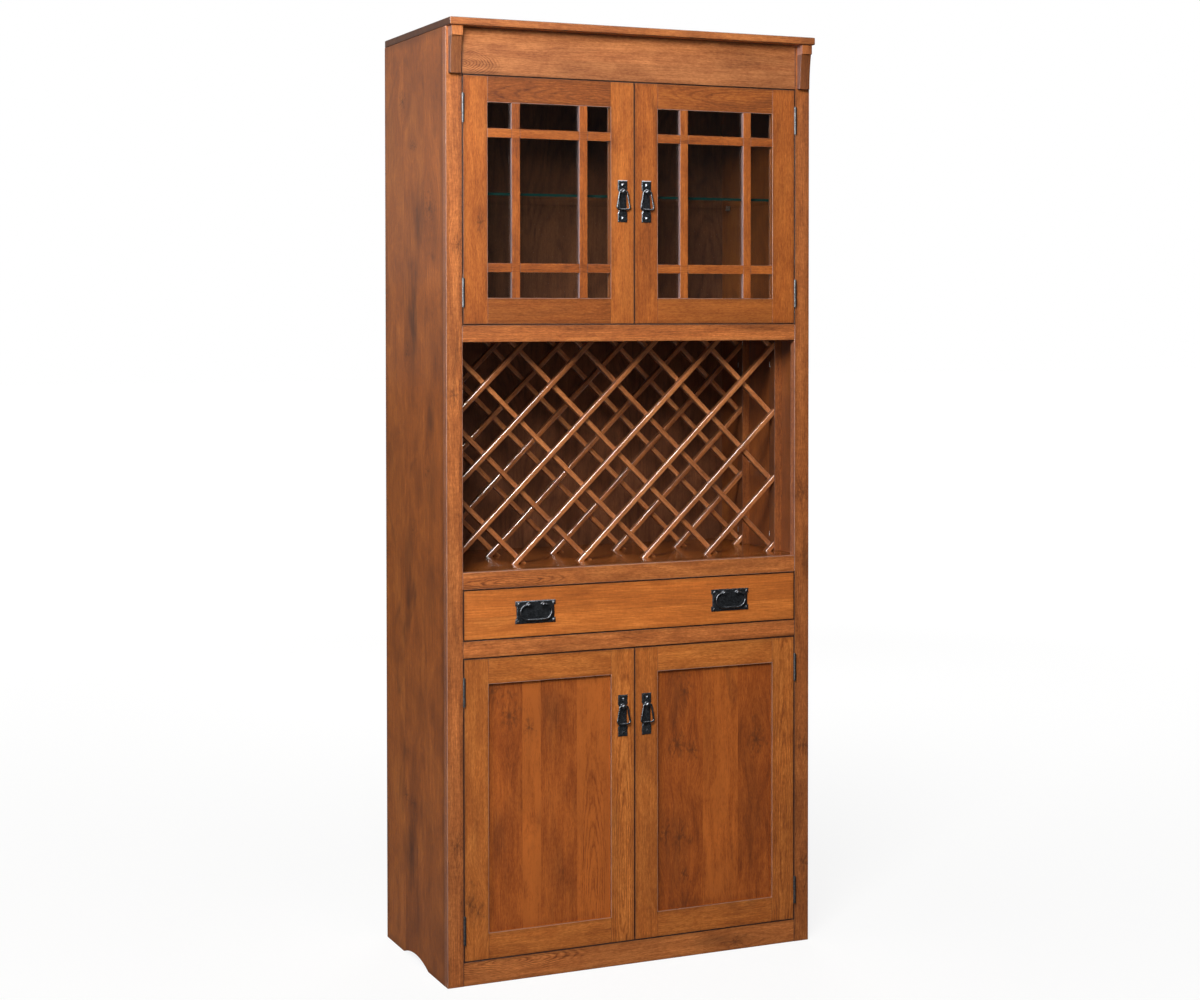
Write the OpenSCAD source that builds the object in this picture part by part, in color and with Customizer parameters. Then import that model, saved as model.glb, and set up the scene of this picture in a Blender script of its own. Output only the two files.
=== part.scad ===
// Tall wine cabinet: two lattice-barred glass doors over an open wine bay, then a drawer
// and two panel doors. The origin is on the floor at the middle of the footprint.
// X runs to the right of someone facing the doors, Y runs to the back and Z is up.

/* [Carcass] */
// Width across the two sides
cabinet_w = 907; // [800:1:1000]
// Depth from the face of the frame to the back edges of the sides
carcass_d = 428; // [400:1:500]
// Thickness of each side board
side_t = 19; // [16:0.5:24]
// Thickness of the shelves that are housed in the sides
floor_t = 19; // [16:0.5:24]
// Depth of the housings and grooves cut in the sides
housing_d = 6; // [4:0.5:8]
// Thickness of the back panel
back_panel_t = 7; // [5:0.5:12]
// Distance from the back panel to the back edges of the sides
back_inset = 9; // [6:0.5:14]
// Thickness of the top board
top_board_t = 17; // [15:0.5:25]
// Overhang of the top board in front of the face frame
top_overhang = 29; // [26:0.5:40]
// Section of the cleats that hold the top board to the sides
top_cleat_w = 19; // [14:0.5:26]

/* [Openings from the floor up] */
// Height of the base rail
base_rail_h = 53; // [45:0.5:70]
// Height of the opening for the two panel doors
cupboard_h = 674; // [600:1:720]
// Height of the opening for the drawer
drawer_opening_h = 113.5; // [110:0.5:140]
// Height of the open wine bay
wine_bay_h = 507.5; // [470:0.5:560]
// Height of the opening for the two glass doors
display_h = 550.5; // [500:0.5:620]
// Height of the frieze under the top board
frieze_h = 103; // [90:1:120]

/* [Face frame] */
// Thickness of the face frame and of everything that closes flush in it
frame_t = 20; // [19:0.5:24]
// Width of the two face stiles
stile_w = 38; // [36:0.5:50]
// Height of the three rails between openings
rail_h = 38.5; // [34:0.5:50]
// Thickness of the tenons on every rail
tenon_t = 7; // [5:0.5:9]
// Length of the tenons on every rail
tenon_len = 24; // [15:1:30]
// Shoulder left above and below each tenon
tenon_shoulder = 10; // [10:0.5:12]

/* [Corbels] */
// Width of each corbel
corbel_w = 26; // [20:1:34]
// Projection of the square block at the top of each corbel
corbel_top_d = 24; // [20:0.5:26]
// Height of that block
corbel_block_h = 22; // [15:1:30]
// Depth of the quirk cut in under the block
corbel_quirk = 3.5; // [2:0.5:5]
// Projection of the foot of each corbel
corbel_foot_d = 13; // [10:0.5:16]

/* [Arched cut-out in each side] */
// Length of the front foot, from the face of the frame
front_foot = 131; // [100:1:160]
// Length of the back foot
back_foot = 124; // [100:1:150]
// Rise of the arch
arch_h = 16; // [8:0.5:28]

/* [Doors and drawer front] */
// Gap round each door and round the drawer front
door_gap = 1.6; // [1:0.1:2.2]
// Width of the door stiles
door_stile_w = 58; // [50:0.5:70]
// Height of the door rails
door_rail_h = 58; // [50:0.5:70]
// Width of the glazing bars
bar_w = 20; // [15:0.5:26]
// Depth of the glazing bars, which is also how far the glass sits behind the door face
bar_d = 10.5; // [9:0.5:12]
// Clear side of the small corner lights
corner_light = 57; // [45:1:70]
// Thickness of the door glass
glass_t = 3; // [2:0.5:4]
// Width of the rebate that takes the glass and its stops
rebate_w = 9; // [7:0.5:9.5]
// Thickness of the flat door panels
panel_t = 6.4; // [5:0.2:8]
// How far the panels sit behind the door face
panel_setback = 7; // [5:0.5:8]
// Depth of the groove that takes the panels
groove_d = 8; // [6:0.5:9]

/* [Shelves] */
// Thickness of the glass shelf
glass_shelf_t = 6; // [5:0.5:10]
// Height of the glass shelf above the display floor
glass_shelf_up = 288.5; // [200:0.5:400]
// Distance from the back of the face frame to the shelf edges
shelf_setback = 22; // [10:1:60]
// Thickness of the cupboard shelf
cupboard_shelf_t = 19; // [16:0.5:24]
// Height of the cupboard shelf above the cupboard floor
cupboard_shelf_up = 318; // [200:1:450]
// Gap between a loose shelf and the sides or back
shelf_gap = 1.5; // [1:0.5:3]
// Radius of the hole for a shelf pin
pin_hole_r = 2.5; // [2:0.1:3.5]
// Radius of the collar of a shelf pin
pin_collar_r = 3.2; // [2.8:0.1:4.5]
// Length of the part of a shelf pin that shows
pin_reach = 9; // [7:0.5:14]
// Depth of the hole for a shelf pin
pin_hole_d = 9; // [6:0.5:11]
// Distance of the shelf pins from the shelf edges
pin_inset = 38; // [30:1:80]

/* [Wine lattice] */
// Width of a diamond, between crossings
cell_w = 163.4; // [140:0.2:200]
// Height of a diamond, between crossings
cell_h = 159.6; // [140:0.2:200]
// Width of a slat across its face
slat_w = 12; // [9:0.5:16]
// Thickness of a slat from front to back
slat_t = 12.5; // [9:0.5:15]
// Radius of the front arrises of a slat
slat_round = 3; // [1:0.5:4]
// Distance from the frame face to the front of the first pair of cleats
lattice_setback = 98; // [60:1:110]
// Distance from the first lattice to the second
lattice_pitch = 166; // [120:1:180]
// Depth of a cleat from front to back
cleat_d = 28; // [26:0.5:34]
// Distance from the front of a cleat to the front of the slats
slat_recess = 3; // [1:0.5:4]
// Distance from the right cleat to the first column of crossings
first_crossing = 1.8; // [0:0.2:10]
// Height of the lowest row of crossings above the bay floor
crossing_up = 12.5; // [8:0.5:20]

/* [Drawer] */
// Height of the drawer box
drawer_box_h = 89; // [70:1:95]
// Length of the drawer box
drawer_box_d = 356; // [300:1:365]
// Thickness of the drawer box boards
drawer_board_t = 12.7; // [10:0.1:16]
// Gap from the drawer deck to the bottom of the box
drawer_lift = 12; // [9:0.5:15]
// Thickness of the drawer bottom
drawer_bottom_t = 6.4; // [4:0.2:9]
// Height of the drawer bottom above the lower edges of the box
drawer_bottom_up = 10; // [6:0.5:14]
// Depth of the groove for the drawer bottom
drawer_groove_d = 6; // [3:0.5:8]

/* [Drawer slides] */
// Width that a slide takes between the block and the drawer box
slide_w = 12.7; // [11:0.1:15]
// Height of a slide
slide_h = 45; // [38:1:50]
// Length of a slide
slide_len = 350; // [300:1:355]
// Thickness of the sheet that the slides are rolled from
slide_sheet = 1.2; // [1:0.1:1.5]
// Running gap between two members of a slide
slide_gap = 0.3; // [0.2:0.05:0.5]
// Height of the block that carries a slide
slide_block_h = 86; // [80:1:95]

/* [Hinges] */
// Height of a hinge
hinge_h = 62; // [50:1:80]
// Radius of a hinge barrel
barrel_r = 3.2; // [2.8:0.1:3.4]
// Distance of the barrel axis in front of the frame
axis_out = 3.5; // [3.5:0.1:5]
// Thickness of a hinge leaf
leaf_t = 1.2; // [1:0.1:1.6]
// Depth of a hinge leaf behind the frame face
leaf_d = 18; // [14:0.5:18.5]
// Radius of a hinge pin
hinge_pin_r = 1.5; // [1.2:0.1:1.8]
// Height of the middle knuckle, which is on the door
middle_knuckle_h = 25; // [18:1:30]
// Distance from the top of a door to the middle of its upper hinge
hinge_from_top = 72; // [60:1:120]
// Distance from the bottom of a door to the middle of its lower hinge
hinge_from_bottom = 70; // [60:1:120]
// Radius of the button head on a hinge pin
pin_button_r = 2.4; // [2:0.1:3]
// Height of the button head on a hinge pin
pin_button_h = 1.2; // [0.8:0.1:2]

/* [Door pulls] */
// Width of a pull plate at its pads
pull_w = 24; // [20:0.5:32]
// Height of a pull plate
pull_h = 95; // [80:1:120]
// Thickness of the iron plates
plate_t = 2.5; // [2:0.1:3.5]
// Height of the upper pad
upper_pad_h = 21; // [16:0.5:22]
// Height of the lower pad
lower_pad_h = 15; // [12:0.5:20]
// Width of the plate between its pads
neck_w = 19.7; // [16:0.1:20]
// Height over which the plate narrows from a pad to the neck
flare_h = 4; // [2:0.5:6]
// Distance of the nails from the ends of the plate
nail_inset = 10; // [8:0.5:12]
// Half the diagonal of a nail head
nail_r = 4.2; // [3:0.1:5]
// Height of a nail head
nail_h = 2.8; // [2:0.1:4]
// Radius of the round boss that the ring hangs from
boss_r = 6; // [5:0.5:6.5]
// Distance from the top of the plate to the pivot
pivot_down = 26; // [24:0.5:32]
// Distance from the plate to the pivot axis
pivot_out = 4.4; // [4:0.1:6]
// Radius of a pivot pin
pivot_r = 1.8; // [1.5:0.1:2]
// Radius of the ring's iron bar
ring_bar_r = 2.3; // [2.1:0.1:2.8]
// Width of the ring at the pivot, between bar centres
ring_top_w = 19; // [18.6:0.2:22]
// Width of the ring at the bottom, between bar centres
ring_bottom_w = 33.4; // [26:0.2:40]
// Drop of the ring, between bar centres
ring_drop = 40; // [30:0.5:50]
// Radius of the bottom corners of the ring, at the bar centre
ring_corner_r = 6; // [4:0.5:8]
// Radius of the top corners of the ring, at the bar centre
ring_eye_r = 3; // [2.9:0.1:3.2]
// Height of the upper pulls above the middle of the glass doors
upper_pull_up = 4; // [-60:1:60]
// Distance from the top of the panel doors down to their pulls
lower_pull_down = 153; // [120:1:260]

/* [Drawer pulls] */
// Width of a drawer pull plate at its ears
bail_plate_w = 97; // [90:1:110]
// Height of a drawer pull plate
bail_plate_h = 51; // [50:1:56]
// Height of the ears at the corners
ear_h = 11.5; // [9:0.5:14]
// How far the ends are cut back between the ears
ear_step = 2.8; // [1:0.2:5]
// Distance of the nails from the ends of the plate
bail_nail_x = 6.5; // [5:0.5:9]
// Distance of the nails from the long edges of the plate
bail_nail_z = 6; // [5:0.5:8]
// Distance between the two posts
post_pitch = 35; // [30:1:45]
// Distance of the posts below the top edge
post_down = 9; // [7:0.5:11]
// Radius of a post
post_r = 4.5; // [4:0.1:5]
// Width of the bail, between wire centres
bail_w = 74.5; // [66:0.5:80]
// Drop of the bail, between wire centres
bail_drop = 33.5; // [30:0.5:36]
// Radius of the bail's wire
bail_wire_r = 2.2; // [2.1:0.1:2.6]
// Radius of the bail's top corners, at the wire centre
bail_corner_r = 14.5; // [8:0.5:16]
// Distance of each drawer pull from the middle of the drawer
bail_x = 244; // [120:1:300]

/* [Door catches] */
// Length of a magnetic catch
catch_w = 60; // [40:1:90]
// Depth of a magnetic catch
catch_d = 14; // [10:0.5:20]
// How far a catch reaches down behind the doors
catch_drop = 14; // [8:0.5:20]
// How far a catch reaches up behind its rail
catch_rise = 18; // [12:0.5:19]

/* [Fits] */
// Glue line between two pieces that share a joint
glue_gap = 0.1; // [0.05:0.01:0.2]
// Gap that lets a panel or a pane move in its groove
panel_gap = 1; // [0.5:0.1:2]
// Radial clearance of a pin that turns in its hole
turn_gap = 0.05; // [0.02:0.01:0.1]
// Gap between the leaves or the knuckles of a closed hinge
hinge_gap = 0.1; // [0.1:0.02:0.3]
// Gap between a catch and the doors that rest against it
catch_gap = 0.5; // [0.3:0.1:1]

/* [Hidden] */
$fn = 48;
// How far a cut runs past the face that it opens
overrun = 2;
// How much thinner the straight bars of a ring or bail are than its round corners, and how
// far they run into them
bar_taper = 0.05;
bar_lap = 0.2;

// Colours of the stained maple, its shaded boards, the iron, the steel and the glass
wood_colour = "peru";
dark_wood_colour = "sienna";
pale_wood_colour = "burlywood";
iron_colour = "dimgray";
steel_colour = "silver";
glass_colour = "paleturquoise";

// Heights of the openings, from the floor up
cupboard_z0 = base_rail_h;
cupboard_z1 = cupboard_z0 + cupboard_h;
drawer_z0 = cupboard_z1 + rail_h;
drawer_z1 = drawer_z0 + drawer_opening_h;
wine_z0 = drawer_z1 + rail_h;
wine_z1 = wine_z0 + wine_bay_h;
display_z0 = wine_z1 + rail_h;
display_z1 = display_z0 + display_h;
carcass_h = display_z1 + frieze_h;
// The housed shelves lie level with the rails in front of them
wine_ceiling_z = display_z0 - floor_t;
drawer_ceiling_z = wine_z0 - floor_t;
cupboard_ceiling_z = drawer_z0 - floor_t;
cupboard_under_z = cupboard_z0 - floor_t;

// Planes from front to back
face_y = (top_overhang - carcass_d) / 2;
frame_back_y = face_y + frame_t;
back_y = face_y + carcass_d;
back_panel_y = back_y - back_inset - back_panel_t;

// Half widths to the inner faces of the sides and of the face stiles
side_in_x = cabinet_w / 2 - side_t;
opening_x = cabinet_w / 2 - stile_w;

// Outer edge, width and heights of the doors
door_x0 = -opening_x + door_gap;
door_w = (2 * opening_x - 3 * door_gap) / 2;
glass_door_z0 = display_z0 + door_gap;
glass_door_h = display_h - 2 * door_gap;
panel_door_z0 = cupboard_z0 + door_gap;
panel_door_h = cupboard_h - 2 * door_gap;
door_opening_w = door_w - 2 * door_stile_w;
// The door tenons are centred between the face and the back
tenon_y = face_y + (frame_t - tenon_t) / 2;

// Hinge axes of the left-hand doors, and the heights of all eight hinges
hinge_x = -opening_x + door_gap / 2;
hinge_y = face_y - axis_out;
door_bottoms = [glass_door_z0, panel_door_z0];
door_heights = [glass_door_h, panel_door_h];
hinge_zs = [for (i = [0, 1], top = [true, false])
    top ? door_bottoms[i] + door_heights[i] - hinge_from_top
        : door_bottoms[i] + hinge_from_bottom];
// Height of each of the two outer knuckles
end_knuckle_h = (hinge_h - middle_knuckle_h) / 2;
// How deep each leaf is let into the wood beside it
leaf_let_in = leaf_t + hinge_gap / 2 - door_gap / 2;

// Place of the pulls on the left-hand doors
pull_x = door_x0 + door_w - door_stile_w / 2;
upper_pull_z = glass_door_z0 + glass_door_h / 2 + upper_pull_up;
lower_pull_z = panel_door_z0 + panel_door_h - lower_pull_down;
// Drawer front, box and slides
drawer_front_z0 = drawer_z0 + door_gap;
drawer_front_h = drawer_opening_h - 2 * door_gap;
drawer_pull_z = drawer_front_z0 + drawer_front_h / 2;
drawer_box_x = opening_x - slide_w;
drawer_box_z0 = drawer_z0 + drawer_lift;
slide_z = drawer_box_z0 + drawer_box_h / 2;

// Shelves
glass_shelf_z = display_z0 + glass_shelf_up;
cupboard_shelf_z = cupboard_z0 + cupboard_shelf_up;
shelf_y0 = frame_back_y + shelf_setback;
shelf_y1 = back_panel_y - shelf_gap;

// Lattice: angle of the slats, and the crossing that the pattern is counted from
slat_angle = atan2(cell_h, cell_w);
crossing_x = opening_x - first_crossing;
crossing_z = wine_z0 + crossing_up;
bay_inner_h = wine_ceiling_z - wine_z0;
// Long enough to cross the bay whatever its height
slat_len = 3 * (bay_inner_h + opening_x);
// How far a slat's foot and head lie apart from side to side
slat_run = bay_inner_h * cell_w / cell_h;
// A slat that would be narrower than this share of a diamond is left out of the corner
shortest_slat_share = 0.05;

// A board given by its two opposite corners
module board(low, high) {
    translate(low) cube(high - low);
}

// Mirrors a left-hand piece to the right as well
module both_sides() {
    children();
    mirror([1, 0, 0]) children();
}

// Round bar between two points in the XZ plane, with y as given, which runs on past both
// of them by lap
module bar_between(a, b, y, r, lap = 0) {
    run = b - a;
    translate([a[0], y, a[1]])
        rotate([0, atan2(run[0], run[1]), 0])
        translate([0, 0, -lap])
        cylinder(h = norm(run) + 2 * lap, r = r);
}

// Part of a torus in the XZ plane, from angle a0 anticlockwise by sweep
module bend(centre, y, bend_r, r, a0, sweep) {
    translate([centre[0], y, centre[1]])
        rotate([90, 0, 0])
        rotate([0, 0, a0])
        rotate_extrude(angle = sweep)
        translate([bend_r, 0])
        circle(r = r);
}

// Carcass

// One side, as the right-hand one: housings for the four shelves, a groove for the back,
// holes for the shelf pins and a shallow arch between the feet
module side() {
    arch_len = carcass_d - front_foot - back_foot;
    arch_r = (arch_len * arch_len / 4 + arch_h * arch_h) / (2 * arch_h);
    difference() {
        translate([side_in_x, 0, 0])
            rotate([90, 0, 90])
            linear_extrude(side_t)
            difference() {
                translate([frame_back_y, 0]) square([back_y - frame_back_y, carcass_h]);
                translate([face_y + front_foot + arch_len / 2, arch_h - arch_r])
                    circle(r = arch_r, $fn = 180);
            }
        for (z = [cupboard_under_z, cupboard_ceiling_z, drawer_ceiling_z, wine_ceiling_z])
            board([side_in_x - overrun, frame_back_y - overrun, z],
                  [side_in_x + housing_d, back_panel_y, z + floor_t]);
        board([side_in_x - overrun, back_panel_y, cupboard_under_z],
              [side_in_x + housing_d, back_panel_y + back_panel_t, carcass_h + overrun]);
        shelf_pin_places()
            translate([-overrun, 0, 0]) rotate([0, 90, 0])
            cylinder(h = pin_hole_d + overrun, r = pin_hole_r);
    }
}

// Four places on the right-hand side where a shelf pin goes in, with X along the pin
module shelf_pin_places() {
    for (z = [glass_shelf_z, cupboard_shelf_z], y = [shelf_y0 + pin_inset, shelf_y1 - pin_inset])
        translate([side_in_x, y, z - pin_collar_r]) children();
}

module side_right() {
    color(dark_wood_colour) side();
}

module side_left() {
    color(dark_wood_colour) mirror([1, 0, 0]) side();
}

module back_panel() {
    color(pale_wood_colour)
        board([-side_in_x - housing_d, back_panel_y, cupboard_under_z],
              [side_in_x + housing_d, back_panel_y + back_panel_t, carcass_h]);
}

// A shelf whose ends are let into the sides
module housed_shelf(z) {
    board([-side_in_x - housing_d, frame_back_y, z],
          [side_in_x + housing_d, back_panel_y, z + floor_t]);
}

module display_floor() {
    color(wood_colour) housed_shelf(wine_ceiling_z);
}

module wine_bay_floor() {
    color(wood_colour) housed_shelf(drawer_ceiling_z);
}

module drawer_deck() {
    color(pale_wood_colour) housed_shelf(cupboard_ceiling_z);
}

module cupboard_floor() {
    color(wood_colour) housed_shelf(cupboard_under_z);
}

module top_board() {
    color(wood_colour)
        board([-cabinet_w / 2, face_y - top_overhang, carcass_h],
              [cabinet_w / 2, back_y, carcass_h + top_board_t]);
}

module top_cleats() {
    color(pale_wood_colour) both_sides()
        board([side_in_x - top_cleat_w, frame_back_y, carcass_h - top_cleat_w],
              [side_in_x, back_panel_y, carcass_h]);
}

// Face frame

// Lower edge and height of every rail that is tenoned into the face stiles
face_rails = [
    [0, base_rail_h], [cupboard_z1, rail_h], [drawer_z1, rail_h], [wine_z1, rail_h],
    [display_z1, frieze_h]
];

// Tenons on both ends of a rail, which also cut their mortises when grown by a clearance
module rail_tenons(x, z0, h, grow) {
    both_sides()
        board([x - glue_gap - overrun, tenon_y - grow, z0 + tenon_shoulder - grow],
              [x + tenon_len + grow, tenon_y + tenon_t + grow, z0 + h - tenon_shoulder + grow]);
}

// The right-hand face stile, with mortises for the rails and for the hinge leaves
module face_stile() {
    difference() {
        board([opening_x, face_y, 0], [cabinet_w / 2, frame_back_y, carcass_h]);
        for (rail = face_rails) rail_tenons(opening_x, rail[0], rail[1], glue_gap);
        for (z = hinge_zs)
            board([opening_x - overrun, face_y - overrun, z - hinge_h / 2],
                  [opening_x + leaf_let_in, face_y + leaf_d, z + hinge_h / 2]);
    }
}

module face_stile_right() {
    color(wood_colour) face_stile();
}

module face_stile_left() {
    color(wood_colour) mirror([1, 0, 0]) face_stile();
}

module face_rail(i) {
    z0 = face_rails[i][0];
    h = face_rails[i][1];
    board([-opening_x, face_y, z0], [opening_x, frame_back_y, z0 + h]);
    rail_tenons(opening_x, z0, h, 0);
}

module base_rail() {
    color(wood_colour) face_rail(0);
}

module rail_below_drawer() {
    color(wood_colour) face_rail(1);
}

module rail_below_wine_bay() {
    color(wood_colour) face_rail(2);
}

module rail_above_wine_bay() {
    color(wood_colour) face_rail(3);
}

module frieze_rail() {
    color(wood_colour) face_rail(4);
}

// Two corbels on the face stiles under the top board: a square block over a quirk and a
// long cove that dies away to the foot
module corbels() {
    sweep_h = frieze_h - corbel_block_h;
    sweep_d = corbel_top_d - corbel_quirk - corbel_foot_d;
    sweep_r = (sweep_h * sweep_h + sweep_d * sweep_d) / (2 * sweep_d);
    color(wood_colour) both_sides()
        translate([opening_x + (stile_w - corbel_w) / 2, face_y, display_z1])
        rotate([90, 0, 90])
        linear_extrude(corbel_w)
        difference() {
            translate([-corbel_top_d, 0]) square([corbel_top_d, frieze_h]);
            intersection() {
                translate([-corbel_top_d - overrun, -overrun])
                    square([corbel_top_d, sweep_h + overrun]);
                translate([-corbel_foot_d - sweep_r, 0]) circle(r = sweep_r, $fn = 240);
            }
            translate([-corbel_top_d - overrun, -overrun])
                square([corbel_quirk + overrun, sweep_h + overrun]);
        }
}

// Loose shelves

module loose_shelf(z, t) {
    board([-side_in_x + shelf_gap, shelf_y0, z], [side_in_x - shelf_gap, shelf_y1, z + t]);
}

module glass_shelf() {
    color(glass_colour) loose_shelf(glass_shelf_z, glass_shelf_t);
}

module cupboard_shelf() {
    color(wood_colour) loose_shelf(cupboard_shelf_z, cupboard_shelf_t);
}

// Eight steel pins, each a shank in the side and a collar that the shelf lies on
module shelf_pins() {
    color(steel_colour) both_sides()
        shelf_pin_places() {
            rotate([0, 90, 0]) cylinder(h = pin_hole_d - glue_gap, r = pin_hole_r - turn_gap);
            rotate([0, -90, 0]) cylinder(h = pin_reach, r = pin_collar_r);
        }
}

// Wine lattice

// A straight bar along X through the crossing at x, leaning by angle, with its two front
// arrises rounded
module slat(x, y, angle) {
    translate([x, y, crossing_z])
        rotate([0, -angle, 0])
        rotate([90, 0, 90])
        linear_extrude(slat_len, center = true)
        union() {
            translate([slat_round, -slat_w / 2]) square([slat_t - slat_round, slat_w]);
            translate([0, slat_round - slat_w / 2])
                square([slat_t / 2, slat_w - 2 * slat_round]);
            for (side = [-1, 1])
                translate([slat_round, side * (slat_w / 2 - slat_round)])
                    circle(r = slat_round);
        }
}

// One lattice, cut off flush by the cleats, the bay floor and the ceiling: one layer leans
// to the right and lies in front of the layer that leans to the left
module lattice(y) {
    shortest = shortest_slat_share * cell_w;
    first = ceil((crossing_x - opening_x - slat_run) / cell_w);
    last = floor((crossing_x + opening_x + slat_run) / cell_w);
    for (k = [first : last], lean = [1, -1]) {
        x = crossing_x - k * cell_w;
        // Where the slat's middle line meets the floor and the ceiling of the bay
        foot = x - lean * crossing_up * cell_w / cell_h;
        head = foot + lean * slat_run;
        length_in_bay = min(opening_x, max(foot, head)) - max(-opening_x, min(foot, head));
        if (length_in_bay > shortest)
            intersection() {
                slat(x, lean > 0 ? y : y + slat_t + glue_gap, lean * slat_angle);
                board([-opening_x, y - overrun, wine_z0],
                      [opening_x, y + 2 * slat_t + overrun, wine_ceiling_z]);
            }
    }
}

module front_lattice() {
    color(wood_colour) lattice(face_y + lattice_setback + slat_recess);
}

module rear_lattice() {
    color(wood_colour) lattice(face_y + lattice_setback + slat_recess + lattice_pitch);
}

// Upright cleats on the sides, which stand level with the face stiles
module lattice_cleats() {
    color(dark_wood_colour) both_sides()
        for (y = [0, lattice_pitch])
            board([opening_x, face_y + lattice_setback + y, wine_z0],
                  [side_in_x, face_y + lattice_setback + y + cleat_d, wine_ceiling_z]);
}

// Drawer slides

// Blocks that bring the slides out level with the face stiles
module slide_blocks() {
    color(pale_wood_colour) both_sides()
        board([opening_x, frame_back_y, drawer_z0], [side_in_x, back_panel_y, drawer_z0 + slide_block_h]);
}

// A rolled channel with its web at x0 and its lips reaching to x1, on the right-hand side
module channel(x0, x1, h) {
    web_x = x1 > x0 ? x0 : x0 - slide_sheet;
    inner_h = h - 2 * slide_sheet;
    translate([0, frame_back_y + overrun, slide_z])
        rotate([-90, 0, 0])
        linear_extrude(slide_len)
        union() {
            translate([web_x, -h / 2]) square([slide_sheet, h]);
            for (z = [-h / 2, inner_h / 2])
                translate([min(x0, x1), z]) square([abs(x1 - x0), slide_sheet]);
        }
}

// Lip of a member, as a share of the width of the slide
case_lip_share = 0.67;
middle_lip_share = 0.7;
middle_h = slide_h - 2 * (slide_sheet + slide_gap);
inner_h = middle_h - 2 * (slide_sheet + slide_gap);

module slide_case_members() {
    color(steel_colour) both_sides()
        channel(opening_x, opening_x - slide_w * case_lip_share, slide_h);
}

module slide_middle_members() {
    web_x = opening_x - slide_sheet - slide_gap;
    color(steel_colour) both_sides() channel(web_x, web_x - slide_w * middle_lip_share, middle_h);
}

module drawer_slide_members() {
    color(steel_colour) both_sides()
        channel(drawer_box_x, opening_x - 2 * (slide_sheet + slide_gap) - slide_gap, inner_h);
}

// Drawer

module drawer_front() {
    color(wood_colour)
        board([-opening_x + door_gap, face_y, drawer_front_z0],
              [opening_x - door_gap, frame_back_y, drawer_front_z0 + drawer_front_h]);
}

// Space of the bottom board, which also cuts its grooves when grown by a clearance
module drawer_bottom_space(grow) {
    inner_x = drawer_box_x - drawer_board_t + drawer_groove_d;
    end_y = drawer_board_t - drawer_groove_d;
    z = drawer_box_z0 + drawer_bottom_up;
    board([-inner_x - grow, frame_back_y + end_y - grow, z - grow],
          [inner_x + grow, frame_back_y + drawer_box_d - end_y + grow, z + drawer_bottom_t + grow]);
}

// Two sides with the front and back boards between them, grooved for the bottom
module drawer_box() {
    inner_x = drawer_box_x - drawer_board_t;
    box_z1 = drawer_box_z0 + drawer_box_h;
    back = frame_back_y + drawer_box_d;
    color(pale_wood_colour) difference() {
        union() {
            both_sides()
                board([inner_x, frame_back_y, drawer_box_z0], [drawer_box_x, back, box_z1]);
            for (y = [frame_back_y, back - drawer_board_t])
                board([-inner_x + glue_gap, y, drawer_box_z0],
                      [inner_x - glue_gap, y + drawer_board_t, box_z1]);
        }
        drawer_bottom_space(glue_gap);
    }
}

module drawer_bottom() {
    color(pale_wood_colour) drawer_bottom_space(0);
}

// Doors, drawn as the left-hand ones

// What a frame loses round its opening: a groove for a panel, or a rebate for a pane
module door_recess(z0, h, glazed) {
    reach = glazed ? rebate_w : groove_d;
    front = glazed ? bar_d : panel_setback;
    depth = glazed ? frame_t - bar_d + overrun : panel_t + 2 * glue_gap;
    board([door_x0 + door_stile_w - reach, face_y + front, z0 + door_rail_h - reach],
          [door_x0 + door_w - door_stile_w + reach, face_y + front + depth,
           z0 + h - door_rail_h + reach]);
}

// Two stiles and two rails, tenoned together
module door_frame(z0, h, glazed) {
    inner_x0 = door_x0 + door_stile_w;
    inner_x1 = door_x0 + door_w - door_stile_w;
    middle_x = door_x0 + door_w / 2;
    color(wood_colour) difference() {
        union() {
            difference() {
                union() {
                    board([door_x0, face_y, z0], [inner_x0, frame_back_y, z0 + h]);
                    board([inner_x1, face_y, z0], [door_x0 + door_w, frame_back_y, z0 + h]);
                }
                for (z = [z0, z0 + h - door_rail_h])
                    translate([middle_x, 0, 0])
                        rail_tenons(door_opening_w / 2, z, door_rail_h, glue_gap);
            }
            for (z = [z0, z0 + h - door_rail_h]) {
                board([inner_x0 + glue_gap, face_y, z],
                      [inner_x1 - glue_gap, frame_back_y, z + door_rail_h]);
                translate([middle_x, 0, 0]) rail_tenons(door_opening_w / 2, z, door_rail_h, 0);
            }
        }
        door_recess(z0, h, glazed);
        for (z = hinge_zs)
            board([door_x0 - overrun, face_y - overrun, z - hinge_h / 2],
                  [door_x0 + leaf_let_in, face_y + leaf_d, z + hinge_h / 2]);
    }
}

// Two upright and two level glazing bars, halved together where they cross
module glazing_bars(z0, h) {
    x0 = door_x0 + door_stile_w;
    x1 = x0 + door_opening_w;
    low = z0 + door_rail_h;
    high = z0 + h - door_rail_h;
    upright_xs = [x0 + corner_light, x1 - corner_light - bar_w];
    level_zs = [low + corner_light, high - corner_light - bar_w];
    back = face_y + bar_d;
    half = face_y + bar_d / 2;
    color(wood_colour) {
        difference() {
            for (x = upright_xs) board([x, face_y, low], [x + bar_w, back, high]);
            for (z = level_zs)
                board([x0, half - glue_gap / 2, z - glue_gap],
                      [x1, back + overrun, z + bar_w + glue_gap]);
        }
        difference() {
            for (z = level_zs) board([x0, face_y, z], [x1, back, z + bar_w]);
            for (x = upright_xs)
                board([x - glue_gap, face_y - overrun, low],
                      [x + bar_w + glue_gap, half + glue_gap / 2, high]);
        }
    }
}

module pane(z0, h) {
    reach = rebate_w - panel_gap;
    color(glass_colour)
        board([door_x0 + door_stile_w - reach, face_y + bar_d, z0 + door_rail_h - reach],
              [door_x0 + door_w - door_stile_w + reach, face_y + bar_d + glass_t,
               z0 + h - door_rail_h + reach]);
}

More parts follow.
